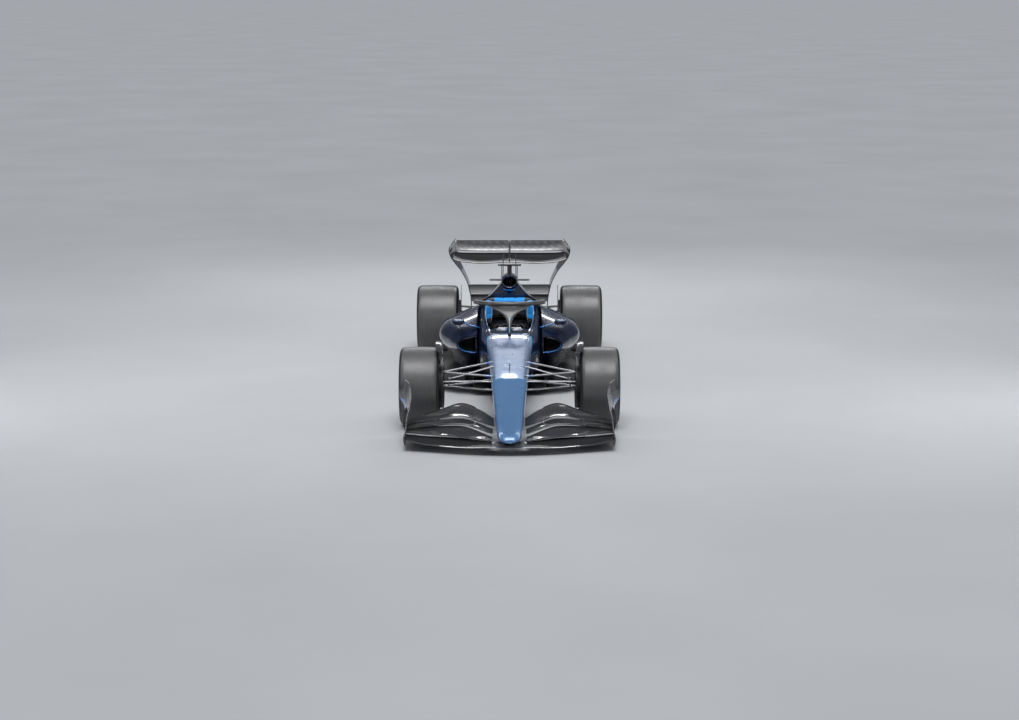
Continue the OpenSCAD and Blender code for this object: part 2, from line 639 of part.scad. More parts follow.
// Rim with a flat cover outside and a hub reaching in to hub_in from the wheel's middle
module wheel(w, hub_in, bore) {
    h = w / 2;
    face = h - 40;
    color(carbon) difference() {
        turned([[face, 0], [face + 20, 0], [face + 20, 38], [face + 4, 44], [face + 2, rim_r - 30],
            [h - 28, rim_r - 12], [h - 22, rim_r + 8], [h - 32, rim_r + 8], [h - 36, rim_r], [36 - h, rim_r],
            [32 - h, rim_r + 8], [22 - h, rim_r + 8], [28 - h, rim_r - rim_wall], [h - 60, rim_r - rim_wall],
            [face - 6, rim_r - 36], [face - 8, 75], [hub_in, 75], [hub_in, 0]]);
        if (bore) axle_cyl(spindle_d / 2 + running_gap, hub_in - 1, hub_in + 145);
    }
}

module front_place() car() translate([front_wheel_x, 0, axle_z]) children();
module rear_place() car() translate([rear_wheel_x, wheelbase, axle_z]) children();

module left_front_tyre() front_place() tyre(front_tyre_w);
module right_front_tyre() mirror([1, 0, 0]) front_place() tyre(front_tyre_w);
module left_rear_tyre() rear_place() tyre(rear_tyre_w);
module right_rear_tyre() mirror([1, 0, 0]) rear_place() tyre(rear_tyre_w);

shaft_in = 100;
rear_hub_x = rear_wheel_x - 64;
module rear_wheel() {
    wheel(rear_tyre_w, rear_hub_x - rear_wheel_x, false);
    color(silver) axle_cyl(shaft_d / 2, shaft_in - rear_wheel_x, rear_hub_x - rear_wheel_x + 20);
}
module left_front_wheel() front_place() wheel(front_tyre_w, hub_x - front_wheel_x, true);
module right_front_wheel() mirror([1, 0, 0]) front_place() wheel(front_tyre_w, hub_x - front_wheel_x, true);
module left_rear_wheel() rear_place() rear_wheel();
module right_rear_wheel() mirror([1, 0, 0]) rear_place() rear_wheel();

// ---- Engine, gearbox and rear suspension ----

engine_l = (wheelbase - cell_end) * 31 / 65;
module engine() color([0.3, 0.3, 0.32]) car() translate([-220, cell_end + seat_gap, 110]) cube([440, engine_l, 420]);

gearbox_y = cell_end + engine_l + 2 * seat_gap;
// [y, half width, bottom, widest height, top, top exponent, bottom exponent]
gearbox_rows = [
    [gearbox_y, 190, 130, 330, 500, 5, 5],
    [gearbox_y + (wheelbase + 150 - gearbox_y) * 0.578, 120, 190, 340, 490, 5, 5],
    [wheelbase + 150, 92, 220, 340, 470, 5, 5],
    [wheelbase + 260, 70, 290, 350, 430, 5, 5],
    [wheelbase + rear_overhang - 80, 44, 320, 362, 404, 5, 5]];
module gearbox_body() loft([for (s = refined(gearbox_rows, 2)) body_section(s, 16)]);
starter_y = wheelbase + 262;
starter_z = 262;

module gearbox() color([0.12, 0.12, 0.13]) car() difference() {
    union() {
        gearbox_body();
        translate([0, wheelbase, axle_z]) axle_cyl(shaft_d / 2 + 22, -150, 150);
        translate([0, starter_y, starter_z]) rotate([90, 0, 0]) cylinder(d = starter_d + 24, h = 110);
    }
    both() translate([0, wheelbase, axle_z]) axle_cyl(shaft_d / 2 + running_gap, shaft_in - 6, 160);
    translate([0, starter_y + 1, starter_z]) rotate([90, 0, 0]) cylinder(d = starter_d, h = 71);
}

module exhaust() color([0.55, 0.5, 0.45]) car() difference() {
    union() {
        translate([0, wheelbase - 60, 545]) rotate([-93, 0, 0]) cylinder(r = 50, h = 300);
        translate([-22, wheelbase + 40, 455]) cube([44, 14, 60]);
    }
    translate([0, wheelbase - 60, 545]) rotate([-93, 0, 0]) translate([0, 0, -1]) cylinder(r = 46, h = 302);
    gearbox_body();
}

module rain_light() color([0.6, 0.05, 0.05]) car()
    translate([-40, wheelbase + rear_overhang - 80 + seat_gap, 332]) cube([80, 18, 60]);

upright_x = rear_hub_x - 160;
module rear_uprights() color(carbon) car() both() {
    difference() {
        union() {
            translate([0, wheelbase, axle_z]) axle_cyl(62, upright_x, rear_hub_x - 14);
            translate([upright_x, wheelbase - 30, 205]) cube([30, 60, 310]);
        }
        translate([0, wheelbase, axle_z]) axle_cyl(shaft_d / 2 + running_gap, 0, 1000);
    }
    difference() {
        drum(upright_x - 30, rear_hub_x - 14, wheelbase);
        translate([0, wheelbase, axle_z]) axle_cyl(shaft_d / 2 + running_gap, 0, 1000);
    }
    translate([upright_x - 35, wheelbase, 0]) rotate([90, 0, 90]) linear_extrude(8)
        polygon([[-215, 330], [-240, 480], [-215, 640], [-150, 725], [-60, 735], [-50, 600], [-120, 420], [-150, 330]]);
}

module rear_leg(out_y, out_z, inner, chord) arm([upright_x + 12, wheelbase + out_y, out_z], inner, chord, 14);
module rear_wishbones() color([0.14, 0.14, 0.15]) car() difference() {
    both() {
        rear_leg(-12, 495, [80, wheelbase - 110, 452], 40);
        rear_leg(12, 495, [70, wheelbase + 130, 448], 40);
        rear_leg(-12, 225, [80, wheelbase - 160, 250], 44);
        rear_leg(12, 225, [70, wheelbase + 120, 268], 44);
        rear_leg(0, 300, [70, wheelbase + 140, 330], 30);
        rear_leg(-20, 462, [80, wheelbase - 170, 270], 30);
    }
    gearbox_body();
    both() translate([upright_x - seat_gap, wheelbase - 100, 0]) cube([60, 200, 600]);
}

// ---- Rear wing ----

rear_y = wheelbase + rear_overhang;
// [height, half width in front and behind, front y and back y ahead of the rear end]
rear_plate_rows = [
    [345, 425, 425, 460, 260],
    [470, 425, 423, 450, 240],
    [665, 456, 450, 430, 210],
    [832, 533, 520, 440, 170],
    [930, 606, 575, 470, 70],
    [1000, 650, 590, 490, 20],
    [1075, 668, 606, 500, 0],
    [1120, 655, 618, 490, 0],
    [1137, 640, 606, 460, 20]];
flap_pivot = [rear_y - 105, 1117];
flap_half = 596;

module rear_plate(thick) sheet([for (s = rear_plate_rows) [for (v = [0, 0.25, 0.5, 0.75, 1])
    [s[1] + (s[2] - s[1]) * v - endplate_t, rear_y - s[3] + (s[3] - s[4]) * v, s[0]]]], [thick, 0, 0]);

module rear_wing_endplates() color(carbon) car() both() difference() {
    rear_plate(endplate_t);
    translate([0, flap_pivot[0], flap_pivot[1]]) axle_cyl(flap_pin_d / 2 + running_gap, 500, 700);
}

// [x, front y, front z, rear y, rear z, thickness, camber]
rear_main_rows = [
    [0, rear_y - 470, 938, rear_y - 252, 1014, 22, 20],
    [293, rear_y - 470, 924, rear_y - 252, 1012, 24, 26],
    [500, rear_y - 468, 938, rear_y - 252, 1014, 20, 20],
    [640, rear_y - 452, 974, rear_y - 252, 1028, 14, 12]];
flap_rows = [
    [0, rear_y - 288, 1036, rear_y - 92, 1124, 14, 16],
    [300, rear_y - 288, 1034, rear_y - 92, 1124, 15, 18],
    [flap_half, rear_y - 284, 1040, rear_y - 92, 1124, 11, 10]];
function mirrored_rows(rows) = concat([for (i = [len(rows) - 1 : -1 : 1])
    concat([-rows[i][0]], [for (k = [1 : 6]) rows[i][k]])], rows);

module rear_main() element(mirrored_rows(rear_main_rows), 3);
module rear_wing_mainplane() color(carbon) car() difference() {
    rear_main();
    both() rear_plate(90);
}

module drs_flap() color(carbon) car() {
    difference() {
        both() element(flap_rows, 3);
        translate([-11, rear_y - 226, 990]) cube([22, 220, 220]);
    }
    both() translate([flap_half - 8, 0, 0]) rotate([90, 0, 90]) linear_extrude(10)
        polygon([[rear_y - 292, 1026], [rear_y - 190, 1056], [rear_y - 84, 1104], [rear_y - 84, 1134], [rear_y - 292, 1052]]);
    both() translate([0, flap_pivot[0], flap_pivot[1]]) axle_cyl(flap_pin_d / 2, flap_half - 2, 622);
}

// [x, front y, front z, rear y, rear z, thickness, camber]
beam_upper_rows = [
    [0, rear_y - 400, 574, rear_y - 265, 660, 11, 12],
    [466, rear_y - 396, 580, rear_y - 265, 660, 10, 9]];
beam_lower_rows = [
    [0, rear_y - 445, 500, rear_y - 335, 562, 11, 11],
    [446, rear_y - 440, 500, rear_y - 335, 562, 10, 9]];
module beam_wing() color(carbon) car() difference() {
    union() {
        element(mirrored_rows(beam_upper_rows), 2);
        element(mirrored_rows(beam_lower_rows), 2);
    }
    both() rear_plate(90);
}

pylon_path = [[wheelbase + 150, 440], [wheelbase + 170, 620], [wheelbase + 170, 800], [wheelbase + 185, 940],
    [wheelbase + 225, 1005], [wheelbase + 285, 1003], [wheelbase + 325, 969]];
module rear_wing_pylon() color(carbon) car() {
    wide = [90, 70, 60, 56, 50, 44, 36];
    difference() {
        both() translate([64, 0, 0]) rotate([90, 0, 90]) linear_extrude(11) union() {
            for (i = [0 : len(pylon_path) - 2]) hull() {
                translate(pylon_path[i]) circle(d = wide[i], $fn = 24);
                translate(pylon_path[i + 1]) circle(d = wide[i + 1], $fn = 24);
            }
        }
        rear_main();
        gearbox_body();
    }
    difference() {
        translate([-10, 0, 0]) rotate([90, 0, 90]) linear_extrude(20)
            polygon([[rear_y - 440, 945], [rear_y - 380, 1020], [rear_y - 330, 1100], [rear_y - 318, 1100],
                [rear_y - 318, 975]]);
        rear_main();
    }
}

monocoque();
nose_cone();
engine_cover();
left_sidepod();
right_sidepod();
car_floor();
skid_plank();
halo();
cockpit_surround();
seat();
steering_wheel();
mirrors();
camera_pod();
front_wing_mainplane();
front_wing_lower_flap();
front_wing_middle_flap();
front_wing_upper_flap();
front_wing_endplates();
front_wishbones();
front_push_rods();
steering_rack();
left_front_knuckle();
right_front_knuckle();
left_front_winglet();
right_front_winglet();
left_front_tyre();
right_front_tyre();
left_rear_tyre();
right_rear_tyre();
left_front_wheel();
right_front_wheel();
left_rear_wheel();
right_rear_wheel();
engine();
gearbox();
exhaust();
rain_light();
rear_uprights();
rear_wishbones();
rear_wing_mainplane();
drs_flap();
rear_wing_endplates();
rear_wing_pylon();
beam_wing();
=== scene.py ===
"""Open wheel racing car: the visible bodywork, wings, cockpit, wheels and suspension around the frame."""

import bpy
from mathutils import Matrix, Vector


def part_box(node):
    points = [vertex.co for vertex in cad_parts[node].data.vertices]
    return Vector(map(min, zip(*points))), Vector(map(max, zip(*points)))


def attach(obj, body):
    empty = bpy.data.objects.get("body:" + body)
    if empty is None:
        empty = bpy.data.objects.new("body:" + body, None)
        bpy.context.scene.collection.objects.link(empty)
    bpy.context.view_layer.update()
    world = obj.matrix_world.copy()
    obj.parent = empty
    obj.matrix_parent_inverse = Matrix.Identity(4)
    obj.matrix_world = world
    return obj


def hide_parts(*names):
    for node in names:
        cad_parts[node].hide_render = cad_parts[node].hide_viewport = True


bl_info = {
    "name": "Open wheel racing car",
    "version": (1, 0, 0),
    "blender": (4, 5, 0),
    "location": "3D View > Sidebar > Racing car",
    "description": "Builds the bodywork, wings, cockpit, wheels and suspension of an open wheel racing car",
    "category": "Object",
}

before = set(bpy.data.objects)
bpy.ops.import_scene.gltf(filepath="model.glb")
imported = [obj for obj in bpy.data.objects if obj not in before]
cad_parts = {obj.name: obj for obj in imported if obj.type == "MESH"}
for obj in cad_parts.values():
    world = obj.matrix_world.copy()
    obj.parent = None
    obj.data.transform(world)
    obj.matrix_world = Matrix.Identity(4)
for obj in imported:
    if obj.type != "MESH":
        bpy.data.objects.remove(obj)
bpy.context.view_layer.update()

import math

import bmesh
import bpy
import numpy as np
from mathutils import Vector

MM = 0.001


def middle(node):
    """The middle of a node's box in the frame, in metres."""
    low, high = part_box(node)
    return (low + high) / 2


# The tables below are in millimetres: across the car, back from the front axle, up from the floor
FRONT_AXLE = middle("left_front_tyre").y
WHEELBASE = (middle("left_rear_tyre").y - FRONT_AXLE) / MM
AXLE_Z = middle("left_front_tyre").z / MM
FRONT_WHEEL_X = middle("left_front_tyre").x / MM
REAR_WHEEL_X = middle("left_rear_tyre").x / MM
REAR_END = WHEELBASE + 720
BODY = "car_body"
# Mounts and interfaces that several pieces meet at
NOSE_JOINT_Y = -330
HALO_FRONT_Y = 1075
HALO_REAR_X, HALO_REAR_Y = 276, 1975
CELL_END = 2000
COCKPIT_END = 2050
DRUM_R = 200
SIDES = ((1, "left"), (-1, "right"))
TINY = 0.01


# ---- Tables of stations and curves ----


def table_value(rows, s, k):
    """Column k of a table of stations at the distance s, smooth and without overshoot."""
    x = [r[0] for r in rows]
    v = [r[k] for r in rows]
    slope = [(v[i + 1] - v[i]) / (x[i + 1] - x[i]) for i in range(len(x) - 1)]
    lean = [slope[0]]
    for a, b in zip(slope, slope[1:]):
        lean.append(0 if a * b <= 0 else 2 * a * b / (a + b))
    lean.append(slope[-1])
    i = 0
    while i < len(x) - 2 and s > x[i + 1]:
        i += 1
    h = x[i + 1] - x[i]
    t = min(1, max(0, (s - x[i]) / h))
    return (
        v[i] * (2 * t**3 - 3 * t**2 + 1)
        + lean[i] * h * (t**3 - 2 * t**2 + t)
        + v[i + 1] * (3 * t**2 - 2 * t**3)
        + lean[i + 1] * h * (t**3 - t**2)
    )


def station(rows, s):
    """All columns of a table at the distance s."""
    return [s] + [table_value(rows, s, k) for k in range(1, len(rows[0]))]


def stations(rows, step):
    """The stations of a table no more than step apart, with the given ones kept."""
    out = []
    for a, b in zip(rows, rows[1:]):
        count = max(1, math.ceil((b[0] - a[0]) / step))
        out += [station(rows, a[0] + (b[0] - a[0]) * j / count) for j in range(count)]
    return out + [station(rows, rows[-1][0])]


def power(v, e):
    """Power of the size of v, with v's sign kept."""
    return np.sign(v) * np.abs(v) ** e


def angles(count):
    return np.arange(count) * math.tau / count


def columns(*parts):
    """Points from their coordinates, each a list or one value for all."""
    return np.stack(np.broadcast_arrays(*parts), 1)


def unit(v):
    return v / np.linalg.norm(v)


def rectangle(left, low, right, high):
    """Outline of a rectangle for a plate."""
    return [(left, low), (right, low), (right, high), (left, high)]


def body_section(s, count):
    """Superellipse across the car; s = y, half width, bottom, widest height, top and the two exponents."""
    a = angles(count)
    up = np.sin(a) >= 0
    e = np.where(up, 2 / s[5], 2 / s[6])
    x = s[1] * power(np.cos(a), e)
    z = s[3] + np.where(up, s[4] - s[3], s[3] - s[2]) * power(np.sin(a), e)
    return columns(x, s[0], z)


def skin_height(rows, x, y, lift=0.0):
    """Height of the upper skin of a superellipse body over the point x, y."""
    s = station(rows, y)
    share = max(0.0, 1 - (abs(x) / s[1]) ** s[5])
    return s[3] + (s[4] - s[3]) * share ** (1 / s[5]) + lift


def clamped_curve(points, count):
    """Curve with count steps that starts and ends on the first and last of the points."""
    p = np.array(points, float)
    e = np.concatenate([p[:1], p[:1], p, p[-1:], p[-1:]])
    out = []
    for i in range(count + 1):
        u = (len(e) - 3) * i / count
        k = min(int(u), len(e) - 4)
        t = u - k
        out.append(
            (e[k] * (1 - t) ** 3 + e[k + 1] * (3 * t**3 - 6 * t**2 + 4)
             + e[k + 2] * (3 * t + 3 * t**2 - 3 * t**3 + 1) + e[k + 3] * t**3) / 6
        )
    return np.array(out)


def through(points, steps):
    """Smooth path through the points, with the given number of steps between neighbours."""
    rows = [[i] + list(p) for i, p in enumerate(points)]
    last = len(points) - 1
    return np.array([station(rows, s)[1:] for s in np.linspace(0, last, last * steps + 1)])


def wing_section(s, count):
    """Wing section across the car; s = x, front y, front z, rear y, rear z, thickness, camber."""
    chord = math.hypot(s[3] - s[1], s[4] - s[2])
    along = np.array([s[3] - s[1], s[4] - s[2]]) / chord
    up = np.array([-along[1], along[0]])
    out = []
    for i in range(2 * count):
        t = (1 + math.cos(math.pi * i / count)) / 2
        bulge = 0.2969 * t**0.5 - 0.126 * t - 0.3516 * t**2 + 0.2843 * t**3 - 0.1036 * t**4
        half = 5 * s[5] * bulge + 0.9 * t
        side = -1 if i <= count else 1
        p = np.array([s[1], s[2]]) + along * t * chord + up * (-4 * s[6] * t * (1 - t) + side * half)
        out.append([s[0], p[0], p[1]])
    return np.array(out)


def both_ways(rows):
    """A half table from the middle outwards, made into a whole one."""
    return [[-r[0]] + r[1:] for r in rows[:0:-1]] + rows


# ---- Shapes ----


class Shape:
    """Points in millimetres and faces, gathered part by part; each part has the number of its finish."""

    def __init__(self):
        self.points, self.faces, self.finish = [], [], []

    def add(self, points, faces, finish=0):
        start = len(self.points)
        self.points += [tuple(p) for p in np.asarray(points, float)]
        self.faces += [tuple(start + i for i in f) for f in faces]
        self.finish += [finish] * len(faces)
        return self

    def loft(self, rings, ends=True, round_trip=False):
        rings = [np.asarray(r, float) for r in rings]
        n, m = len(rings[0]), len(rings)
        points = np.concatenate(rings + ([rings[0].mean(0)[None], rings[-1].mean(0)[None]] if ends else []))
        faces = []
        for j in range(m if round_trip else m - 1):
            a, b = j * n, ((j + 1) % m) * n
            faces += [(a + i, a + (i + 1) % n, b + (i + 1) % n, b + i) for i in range(n)]
        if ends:
            last = (m - 1) * n
            faces += [((i + 1) % n, i, m * n) for i in range(n)]
            faces += [(last + i, last + (i + 1) % n, m * n + 1) for i in range(n)]
        return self.add(points, faces)

    def sheet(self, grid, offset):
        """Closed sheet; offset is a vector, or a thickness along the sheet's own normals."""
        g = np.asarray(grid, float)
        m, n = g.shape[:2]
        if np.isscalar(offset):
            normal = np.cross(np.gradient(g, axis=0), np.gradient(g, axis=1))
            offset = offset * normal / np.maximum(1e-9, np.linalg.norm(normal, axis=2, keepdims=True))
        points = np.concatenate([g.reshape(-1, 3), (g + offset).reshape(-1, 3)])
        far = m * n
        faces = []
        for i in range(m - 1):
            for j in range(n - 1):
                a = i * n + j
                faces += [(a, a + n, a + n + 1, a + 1), (far + a, far + a + 1, far + a + n + 1, far + a + n)]
        rim = [i * n for i in range(m)] + [(m - 1) * n + j for j in range(1, n)]
        rim += [i * n + n - 1 for i in range(m - 2, -1, -1)] + list(range(n - 2, 0, -1))
        faces += [(p, q, far + q, far + p) for p, q in zip(rim, rim[1:] + rim[:1])]
        return self.add(points, faces)

    def tube(self, path, wide, high=None, sides=16, up=(0, 0, 1), squareness=1.0, closed=False):
        """Oval tube along a path; wide and high may be lists, one value for each point."""
        path = np.asarray(path, float)
        m = len(path)
        wide = np.broadcast_to(np.asarray(wide, float), m)
        high = wide if high is None else np.broadcast_to(np.asarray(high, float), m)
        rings = []
        for i in range(m):
            if closed:
                d = path[(i + 1) % m] - path[i - 1]
            else:
                d = path[min(i + 1, m - 1)] - path[max(i - 1, 0)]
            d = unit(d)
            side = np.cross(up, d)
            if np.linalg.norm(side) < 1e-3:
                side = np.cross((1, 0, 0), d)
            side = unit(side)
            top = np.cross(d, side)
            a = angles(sides)
            rings.append(
                path[i]
                + np.outer(power(np.cos(a), squareness) * wide[i] / 2, side)
                + np.outer(power(np.sin(a), squareness) * high[i] / 2, top)
            )
        return self.loft(rings, not closed, closed)

    def arm(self, p, q, chord, thick, ends=1.0, sides=20):
        """Streamlined arm from p to q, flat along the car, fuller at its ends if ends is over 1."""
        p, q = np.array(p, float), np.array(q, float)
        d = unit(q - p)
        flat = unit(np.cross((0, 1, 0), d))
        along = np.cross(d, flat)
        a = angles(sides)
        rings = []
        for t in np.linspace(0, 1, 13):
            full = 1 + (ends - 1) * (2 * abs(t - 0.5)) ** 6
            height = thick / 2 * np.sin(a) * (1 - 0.35 * (1 - np.cos(a)) / 2) * full
            rings.append(p + (q - p) * t + np.outer(height, flat) - np.outer(chord / 2 * np.cos(a), along))
        return self.loft(rings)

    def turned(self, profile, centre=(0, 0, 0), axis="x", steps=96, finish=0, closed=False):
        """Profile (distance along the axis, radius) turned about it; closed joins its ends."""
        a = angles(steps)
        profile = list(profile)
        n = len(profile)
        points = np.zeros((steps, n, 3))
        for k, (s, r) in enumerate(profile):
            ring = {"x": (np.full(steps, s), r * np.cos(a), r * np.sin(a)),
                    "y": (r * np.sin(a), np.full(steps, s), r * np.cos(a)),
                    "z": (r * np.cos(a), r * np.sin(a), np.full(steps, s))}[axis]
            points[:, k] = np.stack(ring, 1) + np.asarray(centre, float)
        faces = []
        for j in range(steps):
            b = (j + 1) % steps
            for k in range(n if closed else n - 1):
                faces.append((j * n + k, j * n + (k + 1) % n, b * n + (k + 1) % n, b * n + k))
        return self.add(points.reshape(-1, 3), faces, finish)

    def solid(self, profile, centre=(0, 0, 0), axis="x", steps=96):
        """Turned solid, closed at the axis at both ends of the profile."""
        return self.turned([(profile[0][0], TINY), *profile, (profile[-1][0], TINY)], centre, axis, steps)

    def block(self, low, high):
        """Box between two opposite corners."""
        x, y, z = zip(low, high)
        points = [(a, b, c) for c in z for b in y for a in x]
        faces = [(0, 2, 3, 1), (4, 5, 7, 6), (0, 1, 5, 4), (2, 6, 7, 3), (0, 4, 6, 2), (1, 3, 7, 5)]
        return self.add(points, faces)

    def plate(self, outline, start, end, axis="x"):
        """Flat plate with the outline, between start and end along the axis."""
        n = len(outline)
        place = "xyz".index(axis)
        points = [(*p[:place], v, *p[place:]) for v in (start, end) for p in map(tuple, outline)]
        faces = [tuple(range(n)), tuple(range(2 * n - 1, n - 1, -1))]
        faces += [(i, (i + 1) % n, n + (i + 1) % n, n + i) for i in range(n)]
        return self.add(points, faces)

    def ball(self, centre, radius, steps=24):
        turns = [math.pi * i / 14 for i in range(15)]
        profile = [(-radius * math.cos(t), max(TINY, radius * math.sin(t))) for t in turns]
        return self.turned(profile, centre, "z", steps)

    def join(self, other):
        start = len(self.points)
        self.points += other.points
        self.faces += [tuple(start + i for i in f) for f in other.faces]
        self.finish += other.finish
        return self

    def copy(self, points, faces):
        new = Shape()
        new.points, new.faces, new.finish = points, faces, list(self.finish)
        return new

    def moved(self, how):
        """A copy with every point put through how."""
        return self.copy([tuple(how(np.array(p))) for p in self.points], list(self.faces))

    def mirrored(self):
        """A copy on the other side of the car."""
        return self.copy([(-x, y, z) for x, y, z in self.points], [f[::-1] for f in self.faces])

    def on_side(self, side):
        """This shape for the left side (1), or its mirror image for the right side (-1)."""
        return self if side > 0 else self.mirrored()

    def both(self):
        """Adds the mirror image."""
        return self.join(self.mirrored())

    def piece(self, name, finishes, body=BODY, sharp=32.0, round_edges=0.0, replaces=(), slot=None):
        """Makes the Blender object, in the frame, and rides it on its body."""
        p = np.array(self.points, float) * MM
        p[:, 1] += FRONT_AXLE
        mesh = bpy.data.meshes.new(name)
        mesh.from_pydata(p.tolist(), [], self.faces)
        for f in finishes if isinstance(finishes, (list, tuple)) else [finishes]:
            mesh.materials.append(material(f))
        mesh.polygons.foreach_set("material_index", self.finish)
        tidy = bmesh.new()
        tidy.from_mesh(mesh)
        bmesh.ops.dissolve_degenerate(tidy, dist=1e-6, edges=tidy.edges)
        bmesh.ops.recalc_face_normals(tidy, faces=tidy.faces)
        tidy.to_mesh(mesh)
        tidy.free()
        obj = bpy.data.objects.new(name, mesh)
        bpy.context.scene.collection.objects.link(obj)
        smooth_shade(obj, sharp)
        if round_edges:
            bevel = obj.modifiers.new("Rounded edges", "BEVEL")
            bevel.width = round_edges * MM
            bevel.segments = 2
            bevel.limit_method = "ANGLE"
            bevel.angle_limit = math.radians(40)
            bevel.harden_normals = True
        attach(obj, body)
        if replaces:
            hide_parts(*replaces)
        return obj


def smooth_shade(obj, sharp):
    mesh = obj.data
    mesh.polygons.foreach_set("use_smooth", [True] * len(mesh.polygons))
    mesh.set_sharp_from_angle(angle=math.radians(sharp))
    mesh.update()


def refinish(obj, *finishes):
    """Gives an object these finishes in place of its own."""
    obj.data.materials.clear()
    for finish in finishes:
        obj.data.materials.append(material(finish))


def cut(obj, *cutters, how="DIFFERENCE", first=False):
    """Takes the cutters out of the object, or joins them to it; first cuts before its other modifiers."""
    for cutter in cutters:
        boolean = obj.modifiers.new("Cut", "BOOLEAN")
        boolean.operation = how
        boolean.solver = "EXACT"
        boolean.object = cutter
        if first:
            obj.modifiers.move(len(obj.modifiers) - 1, 0)
    bake(obj)
    for cutter in cutters:
        bpy.data.objects.remove(cutter)


def bake(obj):
    """Applies the object's modifiers to its mesh."""
    bpy.context.view_layer.update()
    graph = bpy.context.evaluated_depsgraph_get()
    mesh = bpy.data.meshes.new_from_object(obj.evaluated_get(graph), preserve_all_data_layers=True,
                                           depsgraph=graph)
    old = obj.data
    obj.modifiers.clear()
    obj.data = mesh
    mesh.name = old.name
    bpy.data.meshes.remove(old)


def dress(node, finish):
    """Gives a node of the frame its finish."""
    refinish(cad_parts[node], finish)


# ---- Sizes and colours that can be changed ----


def colour(name, description, default):
    return bpy.props.FloatVectorProperty(
        name=name, description=description, default=default, size=3, min=0, max=1, subtype="COLOR"
    )


def length(name, description, default):
    return bpy.props.FloatProperty(name=name, description=description, default=default, min=0, unit="LENGTH")


class PaintColours(bpy.types.PropertyGroup):
    """Colours of the bodywork and trim"""

    nose_blue: colour("Nose blue", "Blue at the tip of the nose", (0.05, 0.165, 0.36))
    silver_blue: colour("Silver blue", "Colour the nose fades to in front of the cockpit", (0.19, 0.25, 0.39))
    navy: colour("Navy", "Dark blue of the bodywork", (0.004, 0.011, 0.04))
    accent: colour("Accent blue", "Bright blue of the edges and inlets", (0.0, 0.22, 0.78))
    # light_accent also colours the painted highlight along the livery's line.
    light_accent: colour("Light accent", "Cyan of the joint lines and the halo's edge", (0.03, 0.42, 0.85))
    pads: colour("Pads", "Blue of the cockpit padding", (0.0, 0.3, 0.88))
    arms: colour("Arms", "Silver of the suspension arms", (0.34, 0.345, 0.36))


class TrimSizes(bpy.types.PropertyGroup):
    """Sizes of the weave, seams and edge beads"""

    tow: length("Tow width", "Width of a bundle in the carbon weave", 0.006)
    bead: length("Edge bead", "Thickness of the painted beads at the openings", 0.004)
    seam: length("Seam depth", "Depth of the sewn channels in the padding", 0.004)
    fill: bpy.props.FloatProperty(name="Pad fill", description="How full the padding is", default=0.8, min=0,
                                  max=1)


class StageSettings(bpy.types.PropertyGroup):
    """Floor, light and camera"""

    floor: colour("Floor", "Colour of the floor", (0.42, 0.43, 0.445))
    power: bpy.props.FloatProperty(name="Light", description="Strength of the overhead light", default=1.0,
                                   min=0)
    distance: length("Camera distance", "Distance of the camera in front of the front axle", 18.0)
    height: length("Camera height", "Height of the camera", 4.15)
    pitch: bpy.props.FloatProperty(
        name="Pitch", description="Downward tilt of the camera", default=math.radians(11.15), subtype="ANGLE"
    )
    lens: bpy.props.FloatProperty(name="Lens", description="Focal length in millimetres", default=70.94,
                                  min=10)


# ---- Finishes ----


